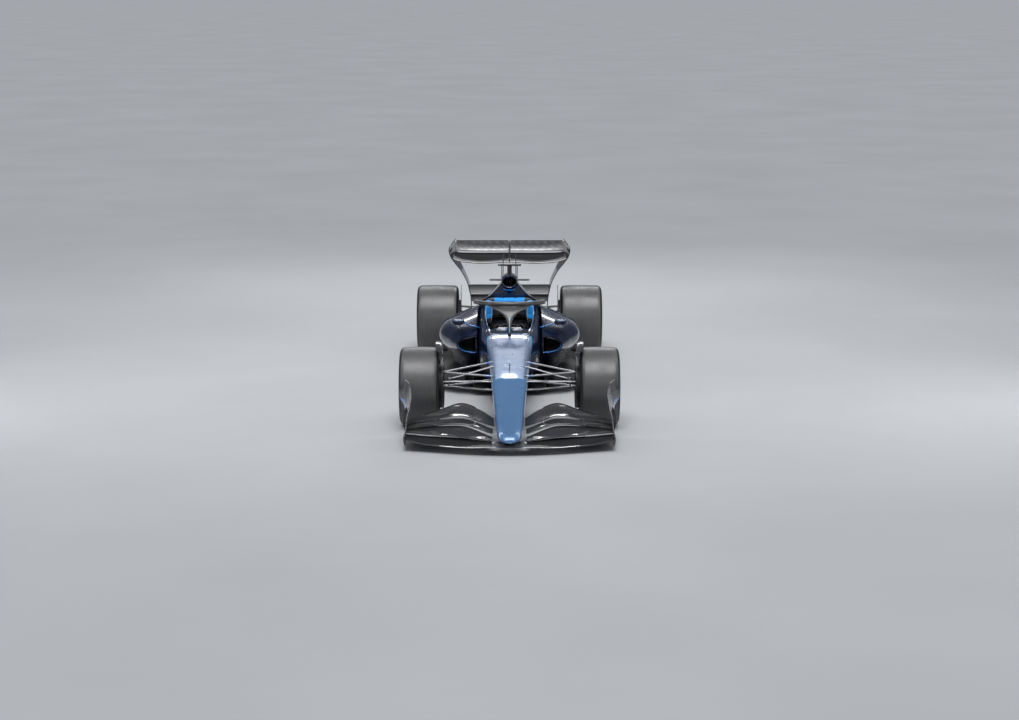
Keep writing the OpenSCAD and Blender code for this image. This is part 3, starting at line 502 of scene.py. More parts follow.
class Recipe:
    """A material and its nodes."""

    def __init__(self, name, colour, roughness, metallic=0.0, coat=0.0, coat_roughness=0.05, ior=1.5):
        self.material = bpy.data.materials.new(name)
        self.material.use_nodes = True
        self.material.diffuse_color = (*colour, 1)
        self.nodes = self.material.node_tree.nodes
        self.links = self.material.node_tree.links
        self.shader = self.nodes["Principled BSDF"]
        self.set("Base Color", (*colour, 1))
        self.set("Roughness", roughness)
        self.set("Metallic", metallic)
        self.set("IOR", ior)
        self.set("Coat Weight", coat)
        self.set("Coat Roughness", coat_roughness)
        self.coordinates = self.nodes.new("ShaderNodeTexCoord").outputs["Object"]

    def set(self, socket, value):
        self.put(self.shader.inputs[socket], value)

    def put(self, socket, value):
        """Puts a value on a socket, or links one to it."""
        if isinstance(value, bpy.types.NodeSocket):
            self.links.new(value, socket)
        else:
            socket.default_value = value

    def maths(self, operation, *values, clamp=False):
        node = self.nodes.new("ShaderNodeMath")
        node.operation = operation
        node.use_clamp = clamp
        for socket, value in zip(node.inputs, values):
            self.put(socket, value)
        return node.outputs[0]

    def step(self, value, edge, sharpness=400.0):
        """1 where the value is over the edge and 0 where it is under."""
        return self.maths("MULTIPLY_ADD", self.maths("SUBTRACT", value, edge), sharpness, 0.5, clamp=True)

    def wave(self, scale, turn=(0, 0, 0)):
        node = self.nodes.new("ShaderNodeTexWave")
        node.inputs["Scale"].default_value = scale
        self.put(node.inputs["Vector"], self.stretched((1, 1, 1), turn))
        return node.outputs["Fac"]

    def grain(self, value, base, dark, light, low=0.3, high=0.7):
        """Darker and lighter shades of the base along a value."""
        return self.ramp(value, [(low, shade(base, dark)), (high, shade(base, light))])

    def axis(self, letter):
        node = self.nodes.new("ShaderNodeSeparateXYZ")
        self.put(node.inputs[0], self.coordinates)
        return node.outputs[letter]

    def stretched(self, scale, turn=(0, 0, 0)):
        node = self.nodes.new("ShaderNodeMapping")
        self.put(node.inputs["Vector"], self.coordinates)
        self.put(node.inputs["Scale"], scale)
        self.put(node.inputs["Rotation"], turn)
        return node.outputs[0]

    def noise(self, scale, detail=3.0, rough=0.5, where=None):
        node = self.nodes.new("ShaderNodeTexNoise")
        self.put(node.inputs["Vector"], where or self.coordinates)
        node.inputs["Scale"].default_value = scale
        node.inputs["Detail"].default_value = detail
        node.inputs["Roughness"].default_value = rough
        return node.outputs["Fac"]

    def cells(self, scale):
        node = self.nodes.new("ShaderNodeTexVoronoi")
        self.put(node.inputs["Vector"], self.coordinates)
        node.inputs["Scale"].default_value = scale
        return node.outputs["Distance"]

    def ramp(self, value, stops):
        """Colours or greys along a value; stops are (place, colour or grey)."""
        node = self.nodes.new("ShaderNodeValToRGB")
        while len(node.color_ramp.elements) < len(stops):
            node.color_ramp.elements.new(1)
        for element, (place, shade) in zip(node.color_ramp.elements, stops):
            element.position = place
            element.color = (*(shade if isinstance(shade, (tuple, list)) else [shade] * 3), 1)
        self.put(node.inputs[0], value)
        return node.outputs[0]

    def scaled(self, value, low, high, new_low=0.0, new_high=1.0):
        node = self.nodes.new("ShaderNodeMapRange")
        for socket, v in zip(node.inputs, (value, low, high, new_low, new_high)):
            self.put(socket, v)
        return node.outputs[0]

    def mix(self, share, a, b):
        node = self.nodes.new("ShaderNodeMix")
        node.data_type = "RGBA"
        self.put(node.inputs[0], share)
        for socket, value in ((node.inputs[6], a), (node.inputs[7], b)):
            self.put(socket, (*value, 1) if isinstance(value, (tuple, list)) and len(value) == 3 else value)
        return node.outputs[2]

    def bump(self, height, strength=0.3, depth=0.001):
        node = self.nodes.new("ShaderNodeBump")
        node.inputs["Strength"].default_value = strength
        node.inputs["Distance"].default_value = depth
        self.put(node.inputs["Height"], height)
        self.set("Normal", node.outputs[0])


def settings():
    return bpy.context.scene.racing_car


def shade(base, factor):
    return tuple(min(1, c * factor) for c in base)


def painted(name, base, roughness=0.3, metallic=0.55):
    """Metallic paint: fine flake, a faint ripple in the lacquer and dust in the roughness."""
    r = Recipe(name, base, roughness, metallic, coat=1.0, coat_roughness=0.03)
    flake = r.noise(1800, 1, 0.6)
    cloud = r.noise(2.2, 3, 0.5)
    tone = r.grain(flake, base, 0.75, 1.35, high=0.72)
    r.set("Base Color", r.mix(r.scaled(cloud, 0.3, 0.7, 0.0, 0.25), tone, shade(base, 0.8)))
    r.set("Roughness", r.scaled(r.noise(7, 5, 0.6), 0.3, 0.7, roughness - 0.05, roughness + 0.07))
    r.bump(r.noise(260, 2, 0.5), 0.02, 0.0004)
    return r


def livery():
    """Nose and survival cell: fading blue above a line that rises to the cockpit, navy below it, and a
    painted light blue highlight along the line.
    """
    paint = settings().paint
    r = painted("fading livery paint", tuple(paint.nose_blue), 0.3, 0.3)
    along = r.scaled(r.axis("Y"), FRONT_AXLE - 1.165, FRONT_AXLE + 1.3)
    flake = r.noise(1800, 1, 0.6)
    fade = r.ramp(along, [(0.0, shade(paint.nose_blue, 0.92)), (0.34, tuple(paint.nose_blue)),
                          (0.5, (0.09, 0.17, 0.33)), (0.72, tuple(paint.silver_blue))])
    line = r.ramp(along, [(0.0, 0.03), (0.1, 0.055), (0.22, 0.16), (0.34, 0.30), (0.47, 0.425), (0.66, 0.505),
                          (0.8, 0.55), (0.9, 0.595), (0.925, 0.62), (0.94, 0.75), (1.0, 0.9)])
    rise = r.maths("SUBTRACT", r.axis("Z"), line)
    above = r.maths("MULTIPLY_ADD", rise, 500.0, 0.5, clamp=True)
    # The thin light blue band along the line is a painted highlight, standing in for the light edge
    # reflections of the nose and cell.
    edge = r.maths("MULTIPLY_ADD", r.maths("ABSOLUTE", r.maths("SUBTRACT", rise, -0.004)), -700.0, 3.2,
                   clamp=True)
    dark = r.grain(flake, paint.navy, 0.7, 1.6, high=0.72)
    light = r.mix(r.scaled(flake, 0.35, 0.7, 0.0, 0.14), fade, (0.7, 0.8, 0.95))
    r.set("Base Color", r.mix(edge, r.mix(above, dark, light), tuple(paint.light_accent)))
    return r


def carbon(name, base=(0.02, 0.021, 0.023), roughness=0.34, coat=1.0, weave=1.0, coat_roughness=0.06):
    """Twill carbon: slanted tows of two directions, lacquered or bare."""
    r = Recipe(name, base, roughness, 0.0, coat, coat_roughness)
    tow = settings().trim.tow
    per = 1 / tow / weave
    check = r.maths("MULTIPLY", *[r.wave(per / 12, (0.6, 0.35, turn)) for turn in (0.785, -0.785)])
    tone = r.grain(check, base, 0.6, 1.9, 0.1, 0.8)
    cloud = r.noise(3, 4, 0.6)
    r.set("Base Color", r.mix(r.scaled(cloud, 0.3, 0.75, 0.0, 0.5), tone, shade(base, 1.1)))
    r.set("Roughness", r.scaled(check, 0.0, 1.0, roughness + 0.08, roughness - 0.06))
    r.bump(check, 0.06, 0.0003)
    return r


def rubber(name, base, roughness, streaks):
    """Slick rubber: rolled streaks round the tread, grains and dull patches."""
    r = Recipe(name, base, roughness, 0.0, 0.0)
    band = r.noise(9, 4, 0.6, r.stretched((26, 0.7, 0.7)))
    grain = r.noise(420, 4, 0.7)
    cloud = r.noise(5, 4, 0.6)
    tone = r.grain(band, base, 1 - 0.35 * streaks, 1 + 0.5 * streaks)
    tone = r.mix(r.scaled(cloud, 0.35, 0.7, 0.0, 0.6 * streaks), tone, shade(base, 1.5))
    r.set("Base Color", r.mix(0.3, tone, r.grain(grain, base, 0.6, 1.5)))
    r.set("Roughness", r.scaled(cloud, 0.3, 0.7, roughness - 0.08, roughness + 0.1))
    r.bump(r.maths("ADD", grain, r.maths("MULTIPLY", band, 0.6)), 0.35, 0.0006)
    return r


def metal(name, base, roughness, brush=(1, 1, 1), metallic=1.0, coat=0.0):
    """Machined or satin metal with its fine lines along one direction, and wear in its gloss."""
    r = Recipe(name, base, roughness, metallic, coat)
    lines = r.noise(60, 5, 0.65, r.stretched(brush))
    wear = r.noise(14, 4, 0.6)
    r.set("Base Color", r.grain(lines, base, 0.78, 1.18, 0.25, 0.75))
    r.set("Roughness", r.maths("ADD", r.scaled(lines, 0.3, 0.7, roughness - 0.05, roughness + 0.05),
                               r.scaled(wear, 0.4, 0.8, 0.0, 0.1)))
    r.bump(lines, 0.08, 0.0004)
    return r


def plastic(name, base, roughness, grain=900.0, depth=0.15, coat=0.0):
    """Moulded plastic with a fine leathery grain."""
    r = Recipe(name, base, roughness, 0.0, coat)
    pebble = r.cells(grain)
    cloud = r.noise(6, 3, 0.5)
    r.set("Base Color", r.mix(r.scaled(cloud, 0.3, 0.7, 0.0, 0.4), base, shade(base, 1.35)))
    r.set("Roughness", r.scaled(pebble, 0.0, 0.8, roughness + 0.06, roughness - 0.08))
    r.bump(pebble, depth, 0.0004)
    return r


def woven(name, base, roughness=0.7, per=900.0):
    """Close woven cover cloth with a soft sheen."""
    r = Recipe(name, base, roughness, 0.0)
    r.set("Sheen Weight", 0.35)
    r.set("Sheen Roughness", 0.4)
    weave = r.maths("MULTIPLY", *[r.wave(per / 6.3, (0, 0.3, turn)) for turn in (0.0, 1.571)])
    cloud = r.noise(11, 4, 0.6)
    tone = r.mix(r.scaled(cloud, 0.3, 0.7, 0.0, 0.35), base, shade(base, 1.6))
    r.set("Base Color", r.mix(r.scaled(weave, 0.0, 1.0, 0.25, 0.0), tone, shade(base, 0.45)))
    r.bump(weave, 0.25, 0.0006)
    return r


def halo_coat():
    """Dark fairing over titanium: fine cast texture under a thin lacquer."""
    r = Recipe("halo fairing", (0.035, 0.036, 0.038), 0.42, 0.1, 0.5, 0.25)
    speck = r.noise(700, 3, 0.7)
    r.set("Base Color", r.ramp(speck, [(0.3, (0.018, 0.018, 0.02)), (0.7, (0.075, 0.075, 0.078))]))
    r.set("Roughness", r.scaled(r.noise(30, 4, 0.6), 0.3, 0.7, 0.36, 0.5))
    r.bump(speck, 0.25, 0.0006)
    return r


def heated_steel():
    """Exhaust pipe: straw to blue tints along its length."""
    r = metal("heated exhaust steel", (0.46, 0.38, 0.3), 0.28, (40, 1, 1))
    y = r.scaled(r.axis("Y"), FRONT_AXLE + 3.54, FRONT_AXLE + 3.84)
    shift = r.maths("ADD", y, r.scaled(r.noise(14, 4, 0.6), 0.3, 0.7, -0.12, 0.12))
    r.set("Base Color", r.ramp(shift,
                               [(0.1, (0.2, 0.19, 0.18)), (0.4, (0.42, 0.3, 0.16)), (0.62, (0.3, 0.16, 0.2)),
                                       (0.8, (0.12, 0.18, 0.36)), (1.0, (0.35, 0.34, 0.32))]))
    return r


def plank_board():
    """Pressed wood composite with long grain and scuffs along the car."""
    r = Recipe("plank board", (0.3, 0.22, 0.14), 0.6)
    grain = r.noise(38, 6, 0.6, r.stretched((9, 0.5, 9)))
    scuff = r.noise(20, 5, 0.7, r.stretched((6, 0.25, 1)))
    tone = r.ramp(grain, [(0.3, (0.19, 0.13, 0.08)), (0.7, (0.38, 0.29, 0.19))])
    r.set("Base Color", r.mix(r.scaled(scuff, 0.55, 0.7, 0.0, 0.6), tone, (0.09, 0.08, 0.075)))
    r.bump(grain, 0.3, 0.0008)
    return r


def cast_alloy():
    """Cast and machined engine alloy with dark oil stains in patches."""
    r = Recipe("cast engine alloy", (0.2, 0.2, 0.21), 0.48, 0.8)
    sand = r.noise(500, 4, 0.7)
    stain = r.noise(8, 5, 0.6)
    r.set("Base Color", r.mix(r.scaled(stain, 0.4, 0.7, 0.0, 0.7), r.ramp(sand, [(0.3, (0.13, 0.13, 0.135)),
                              (0.7, (0.3, 0.3, 0.31))]), (0.05, 0.046, 0.042)))
    r.bump(sand, 0.4, 0.0008)
    return r


def lens(name, base, glow):
    """Ribbed lamp lens over its emitters."""
    r = Recipe(name, base, 0.12, 0.0, 1.0)
    ribs = r.wave(26)
    r.set("Base Color", r.mix(ribs, shade(base, 0.5), shade(base, 1.5)))
    r.set("Emission Color", (*base, 1))
    r.set("Emission Strength", glow)
    r.bump(ribs, 0.3, 0.001)
    return r


def endplate_carbon():
    """Front endplate: lacquered carbon with a blue stripe down its outer rear edge."""
    r = carbon("endplate carbon")
    old = r.shader.inputs["Base Color"].links[0].from_socket
    z = r.axis("Z")
    back = r.step(r.axis("Y"), r.maths("MULTIPLY_ADD", z, 0.15, FRONT_AXLE - 0.645))
    side = r.step(r.maths("ABSOLUTE", r.axis("X")), 0.9, 800.0)
    band = r.maths("MULTIPLY", r.step(z, 0.13), r.step(0.36, z))
    mask = r.maths("MULTIPLY", r.maths("MULTIPLY", back, side), band)
    r.set("Base Color", r.mix(mask, old, (0.02, 0.2, 0.75)))
    return r


def stage_floor():
    """Smooth pale floor with a soft satin gloss."""
    base = tuple(settings().stage.floor)
    r = Recipe("stage floor", base, 0.7)
    r.set("Specular IOR Level", 0.15)
    r.set("Base Color", r.grain(r.noise(0.35, 3, 0.5), base, 0.96, 1.04))
    r.set("Roughness", r.scaled(r.noise(1.1, 4, 0.6), 0.3, 0.7, 0.62, 0.78))
    return r


def recipes():
    """How each finish is made, by name."""
    paint = settings().paint
    return {
        "livery": livery,
        "navy": lambda: painted("navy metallic paint", tuple(paint.navy), 0.26, 0.5),
        "accent": lambda: painted("bright blue paint", tuple(paint.accent), 0.28, 0.3),
        "light_accent": lambda: painted("light blue paint", tuple(paint.light_accent), 0.28, 0.2),
        "cowl": lambda: painted("grey blue cowl paint", (0.03, 0.04, 0.065), 0.28, 0.5),
        "carbon": lambda: carbon("lacquered carbon"),
        "carbon_bare": lambda: carbon("bare carbon", (0.028, 0.028, 0.03), 0.5, 0.25, 1.4, 0.3),
        "carbon_duct": lambda: carbon("duct carbon", (0.022, 0.022, 0.024), 0.55, 0.0, 1.4),
        "wing_weave": lambda: carbon("open weave carbon", (0.04, 0.041, 0.044), 0.42, 0.6, 2.6, 0.2),
        "endplate": endplate_carbon,
        "black": lambda: plastic("black moulding", (0.012, 0.012, 0.013), 0.5),
        "inside": lambda: plastic("dark inside", (0.008, 0.008, 0.009), 0.7, 500.0),
        "white": lambda: plastic("white trim", (0.8, 0.82, 0.85), 0.4, 1500.0, 0.05),
        "halo": halo_coat,
        "pads": lambda: woven("blue padding cloth", tuple(paint.pads)),
        "pads_low": lambda: woven("black padding cloth", (0.012, 0.014, 0.02), 0.75),
        "seat_cloth": lambda: woven("black seat cloth", (0.02, 0.02, 0.023), 0.8),
        "belt": lambda: woven("belt webbing", (0.015, 0.03, 0.09), 0.6, 500.0),
        "grip": lambda: plastic("rubber grip", (0.02, 0.02, 0.022), 0.65, 500.0, 0.5),
        "display": lambda: plastic("display glass", (0.004, 0.006, 0.01), 0.08, 300.0, 0.01, 1.0),
        "button_red": lambda: plastic("red button", (0.55, 0.02, 0.02), 0.35),
        "button_blue": lambda: plastic("blue button", (0.02, 0.16, 0.6), 0.35),
        "button_green": lambda: plastic("green button", (0.02, 0.4, 0.1), 0.35),
        "button_yellow": lambda: plastic("yellow button", (0.65, 0.45, 0.02), 0.35),
        "arms": lambda: metal("satin silver arms", tuple(paint.arms), 0.34, (1, 18, 1), 0.75, 0.3),
        "rod": lambda: metal("rod end steel", (0.5, 0.51, 0.53), 0.24, (20, 1, 1)),
        "anodised": lambda: metal("blue anodised alloy", (0.02, 0.22, 0.7), 0.26, (1, 20, 1), 0.7, 0.3),
        "rim": lambda: metal("dark rim alloy", (0.06, 0.062, 0.066), 0.3, (1, 3, 3), 0.85, 0.2),
        "cover": lambda: carbon("wheel cover carbon", (0.016, 0.016, 0.018), 0.4, 0.5, 1.2, 0.15),
        "nut": lambda: metal("wheel nut alloy", (0.45, 0.46, 0.48), 0.25, (1, 20, 20)),
        "steel": lambda: metal("shaft steel", (0.3, 0.3, 0.31), 0.32, (30, 1, 1)),
        # The tread's grey, lighter than the sidewall's, is partly worn rubber and partly a painted sheen of
        # the overhead light.
        "tread": lambda: rubber("tyre tread", (0.075, 0.075, 0.076), 0.36, 0.8),
        "sidewall": lambda: rubber("tyre sidewall", (0.008, 0.008, 0.0085), 0.45, 0.15),
        "mirror": lambda: metal("mirror glass", (0.85, 0.87, 0.88), 0.04, (1, 1, 1)),
        # Painted highlight for the upward faces of the mirror tops, a steel blue.
        "mirror_top_highlight": lambda: painted("painted mirror top highlight", (0.05, 0.085, 0.17), 0.2, 0.6),
        "alloy": cast_alloy,
        "exhaust": heated_steel,
        "lamp": lambda: lens("red rain lamp", (0.5, 0.01, 0.01), 0.15),
        "plank": plank_board,
        "stage": stage_floor,
    }


FINISHES = {}


def material(name):
    """The finish of that name, made when it is first asked for."""
    if name not in FINISHES:
        FINISHES[name] = recipes()[name]().material
    return FINISHES[name]


# ---- Bodywork ----

# y, half width, bottom, widest height, top, top exponent, bottom exponent
CELL = [
    [-330, 160, 330, 420, 500, 3.4, 3],
    [0, 176, 325, 430, 535, 3.4, 3],
    [300, 190, 318, 440, 562, 3.4, 3],
    [650, 208, 280, 450, 592, 3.4, 3],
    [1000, 250, 170, 455, 622, 3.2, 3],
    [1250, 298, 90, 470, 668, 3.4, 3],
    [1600, 318, 60.3, 480, 730, 4.5, 3],
    [2000, 318, 60.3, 480, 790, 6, 3],
    [2080, 314, 60.3, 470, 640, 6, 3],
    [2300, 298, 60.3, 460, 600, 6, 3],
]
NOSE = [
    [-1165, 46, 98, 108, 120, 2.2, 2.2],
    [-1130, 84, 96, 116, 150, 2.6, 2.4],
    [-1050, 108, 100, 150, 196, 3, 2.6],
    [-900, 120, 140, 205, 262, 3.2, 2.8],
    [-600, 140, 240, 320, 388, 3.4, 3],
    [-330.3, 160, 330, 420, 500, 3.4, 3],
]
# y, spine half width, spine height, neck half width, neck height, shoulder height, skirt height, top
COVER = [
    [2090, 70, 1000, 190, 850, 790, 650, 1060],
    [2300, 66, 990, 200, 830, 740, 590, 1050],
    [2700, 50, 890, 160, 740, 620, 490, 950],
    [WHEELBASE - 500, 36, 760, 110, 620, 490, 380, 850],
    [WHEELBASE - 200, 26, 640, 80, 540, 420, 300, 740],
]
# y, inner top, top, outer half width, widest height, underside, undercut half width, bottom
POD = [
    [1300, 600, 570, 545, 485, 425, 380, 410],
    [1450, 660, 650, 625, 490, 400, 420, 300],
    [1700, 730, 680, 727, 495, 370, 450, 180],
    [2000, 768, 660, 737, 480, 320, 500, 105],
    [2400, 690, 610, 732, 420, 240, 560, 100],
    [2700, 585, 535, 672, 350, 180, 540, 100],
    [WHEELBASE - 500, 445, 410, 470, 245, 155, 400, 112],
    [WHEELBASE - 200, 330, 300, 290, 190, 150, 240, 130],
]
WALL = [[1200, 318.3], [2700, 318.3], [WHEELBASE - 500, 250], [WHEELBASE - 200, 190]]
# y, half width, half height of the air inlet's snout
SNOUT = [[2015, 76, 62], [2090, 88, 72], [2250, 84, 66], [2450, 62, 50]]
MOUTH_Z = 1008
# Outline of the cockpit opening on one side: across, back
OPENING = [[0, 1178], [70, 1180], [120, 1190], [160, 1222], [185, 1250], [205, 1310], [215, 1370],
           [228, 1560],
           [235, 1790], [234, 1930], [230, 1990], [212, 2030], [190, 2050]]
COLUMN_TILT = math.radians(18)
HUB = np.array([0, 1310, 640.0])


def wall_at(y):
    return float(np.interp(y, [r[0] for r in WALL], [r[1] for r in WALL]))


def cover_section(s, inset, drop, count=30):
    w, spine, top = wall_at(s[0]) - 0.6 - inset, max(s[1] - inset, 8), s[7] - inset
    half = clamped_curve([[w, s[6] - drop], [w, (s[6] + s[5]) / 2], [w, s[5] - inset],
                          [s[3] - inset, s[4] - inset],
                          [spine, s[2] - inset], [spine / 2, top]], count)
    line = np.concatenate([half, half[::-1] * [-1, 1]])
    return columns(line[:, 0], s[0], line[:, 1])


def pod_section(s, count=44):
    w = wall_at(s[0])
    line = clamped_curve([[w, s[7]], [s[6], s[7]], [s[6] + 20, (s[5] + s[7]) / 2], [(s[6] + s[3]) / 2, s[5]],
                          [s[3], s[4]], [s[3] - 60, (s[2] + s[4]) / 2 + 40], [(w + s[3]) / 2, s[2]],
                          [w, s[1]]], count)
    return columns(line[:, 0], s[0], line[:, 1])


def opening_line(spread=0.0):
    """The whole cockpit outline as points across and back, spread outwards."""
    half = through(OPENING, 6)
    whole = np.concatenate([half, (half * [-1, 1])[-1:0:-1]])
    if spread:
        ahead, behind = np.roll(whole, -1, 0), np.roll(whole, 1, 0)
        d = ahead - behind
        whole = whole + spread * np.stack([d[:, 1], -d[:, 0]], 1) / np.linalg.norm(d, axis=1)[:, None]
    return whole


def on_column(points):
    """Points given across the wheel, up its face and out to the driver, moved onto the steering column."""
    p = np.asarray(points, float)
    c, s = math.cos(COLUMN_TILT), math.sin(COLUMN_TILT)
    up, out = np.array([0, -s, c]), np.array([0, c, s])
    return HUB + np.outer(p[:, 0], (1, 0, 0)) + np.outer(p[:, 1], up) + np.outer(p[:, 2], out)


def column_shape(shape):
    """The shape moved onto the steering column."""
    return shape.copy([tuple(p) for p in on_column(shape.points)], list(shape.faces))


class CAR_OT_survival_cell(bpy.types.Operator):
    """Builds the survival cell with its cockpit opening, rim beads, windscreen lip and hatches"""

    bl_idname = "racing_car.survival_cell"
    bl_label = "Survival cell"

    def execute(self, context):
        bead = settings().trim.bead / MM
        cell = Shape().loft([body_section(s, 112) for s in stations(CELL, 28)]).piece(
            "survival_cell", ["livery", "inside"], replaces=["monocoque"], slot="navy_paint")
        inner = [[max(r[0], 120), r[1] - 24, r[2] + 24, r[3], r[4] - 24, r[5],
                  r[6]] for r in CELL if 0 <= r[0] <= 2000]
        hollow = Shape().loft([body_section(s, 72) for s in stations(inner, 60)]).piece("hollow", "inside")
        line = opening_line()
        well = Shape().loft([columns(line[:, 0], line[:, 1], z) for z in (520, 1100)]).piece("well", "inside")
        rack = Shape().solid([(-62, 16.05), (62, 16.05)], (0, -100, 425))
        rack.join(Shape().block((62, -138, 407), (300, -62, 443)).both())
        rack = rack.piece("rack_tunnel", "inside")
        column = column_shape(Shape().solid([(-330, 16.05), (0, 16.05)], axis="z"))
        column = column.piece("column_bore", "inside")
        cut(cell, hollow, well, rack)
        boss = Shape().solid([(-220, 28), (-180, 28)], axis="z", steps=48)
        frame_bar = column_shape(boss).join(Shape().block((-228, 1105, 548), (228, 1125, 590)))
        frame_bar = frame_bar.piece("dash_bulkhead", "inside")
        cut(frame_bar, column)
        for face in cell.data.polygons:
            y = face.center.y / MM - FRONT_AXLE / MM
            x, z = abs(face.center.x) / MM, face.center.z / MM
            if 100 < y < CELL_END + 1:
                s = station(CELL, y)
                reach = (s[4] - s[3] if z > s[3] else s[3] - s[2]) - 8
                if (x / (s[1] - 8)) ** 3 + (abs(z - s[3]) / max(10, reach)) ** 3 < 1:
                    face.material_index = 1
        smooth_shade(cell, 32)
        a = angles(48)
        feet = Shape().loft([columns(w * np.cos(a), HALO_FRONT_Y + d * np.sin(a), z)
                             for z, w, d in ((600, 30, 31.5), (622, 22, 31), (640, 16, 30.5), (652, 13, 30))])
        rear_foot = Shape().solid([(700, 32), (774, 32), (776, 30)], (HALO_REAR_X, HALO_REAR_Y, 0), "z", 48)
        feet.join(rear_foot.both())
        feet.piece("halo_mounts", "cowl")
        rim = opening_line(1.0)
        front = [(x, y, skin_height(CELL, x, min(y, 2000), 1.5)) for x, y in rim if y < 2012]
        split = next(i for i in range(1,
                                      len(front)) if np.linalg.norm(np.subtract(front[i], front[i - 1])) > 60)
        front = front[split:] + front[:split]
        Shape().tube(front, bead, bead * 0.8, 12).piece("cockpit_rim_bead", "accent")
        lip = []
        for x in np.linspace(-186, 186, 75):
            y = 1180 + (abs(x) / 186) ** 3 * 44
            base = skin_height(CELL, x, y, -2)
            rise = 1 - (abs(x) / 190) ** 5
            lip.append([[x, y - 60, skin_height(CELL, x, y - 60, -1)],
                        [x, y - 26, skin_height(CELL, x, y - 26, 8 * rise)],
                        [x, y - 8, base + 22 * rise], [x, y + 2, base + 34 * rise]])
        Shape().sheet(lip, (0, 3, 2)).piece("windscreen_lip", "cowl")
        teeth = Shape()
        for k in range(5):
            x = 26 + 19 * k
            z = skin_height(CELL, x, 1184, 0) + 31
            y = 1182 + (x / 186) ** 3 * 44
            teeth.plate([(y - 12, z - 4), (y + 3, z - 4), (y + 3, z + 9)], x - 2.2, x + 2.2)
            teeth.plate([(y - 4, z - 2), (y + 3, z - 2), (y + 3, z + 5)], x - 6.5, x + 6.5)
        teeth.both().piece("lip_vanes", "white")
        joint = Shape().tube(body_section([NOSE_JOINT_Y] + CELL[0][1:],
                                          96)[::-1] * [1.001, 1, 1] + [0, 0, 0.4], 2.6, 2.2, 8,
                             up=(0, 1, 0), closed=True)
        joint.piece("nose_joint_line", "light_accent")
        hatch = Shape()
        for y0, y1, half in ((-60, 120, 70), (260, 420, 62)):
            ring = [(half, y0 + 18), (half, y1 - 18), (half - 18, y1), (18 - half, y1), (-half, y1 - 18),
                    (-half, y0 + 18),
                    (18 - half, y0), (half - 18, y0)]
            corners = zip(np.array(ring), np.roll(ring, -1, 0))
            line = [a * (1 - t) + b * t for a, b in corners for t in np.linspace(0, 1, 12, False)]
            path = [(x, y, skin_height(CELL, x, y, 0.2)) for x, y in line]
            hatch.tube(path, 1.6, 1.2, 6, closed=True)
        hatch.piece("hatch_lines", "inside")
        tube = Shape().tube([(0, -190, 512), (0, -60, 556), (0, 20, 562), (0, 60, 552), (0, 90, 540)],
                            [5, 7, 8, 8, 10])
        tube.tube([(0, -190, 512), (0, -196, 510)], [3.5, 2.4], None, 12).piece("pitot_tube", "black")
        return {"FINISHED"}


class CAR_OT_nose(bpy.types.Operator):
    """Builds the nose cone with its lower lip, pylon and fasteners"""

    bl_idname = "racing_car.nose"
    bl_label = "Nose"

    def execute(self, context):
        rings = [body_section(s, 112) for s in stations(NOSE, 14)]
        tip = [body_section([-1165 - d, 46 * k, 108 - 10 * k, 108, 108 + 12 * k, 2.2, 2.2], 112)
               for d, k in ((0.0, 0.999), (-1.5, 0.93))]
        nose = Shape().loft([tip[1] + [0, -3.4, 0]] + rings)
        nose.piece("nose_cone_skin", "livery", replaces=["nose_cone"], slot="light_blue_paint", sharp=40)
        foot = Shape().plate([(-1125, 84), (-1087, 86), (-1087, 116), (-1125, 116)], -42, 42)
        foot.piece("nose_pylon", "carbon", round_edges=2)
        reach = 1.25
        turns = np.linspace(-reach, reach, 41)
        lip = [(82 * math.sin(a) / math.sin(reach), -1166 + 74 * (1 - math.cos(a)),
                103 + 6 * abs(math.sin(a)) ** 3)
               for a in turns]
        Shape().tube(lip, 3 + 4 * np.cos(turns), 5, 12).piece("nose_lip", "light_accent")
        head = [(-1, TINY), (0.6, 6.4), (0.9, 5.8), (0.9, 3), (0.2, 2.6), (0.2, TINY)]
        screws = Shape()
        for x in (-95, -35, 35, 95):
            place = (x, NOSE_JOINT_Y - 22, skin_height(NOSE, x, NOSE_JOINT_Y - 22))
            screws.turned(head, place, "z", 24)
        screws.piece("nose_fasteners", "rod")
        return {"FINISHED"}


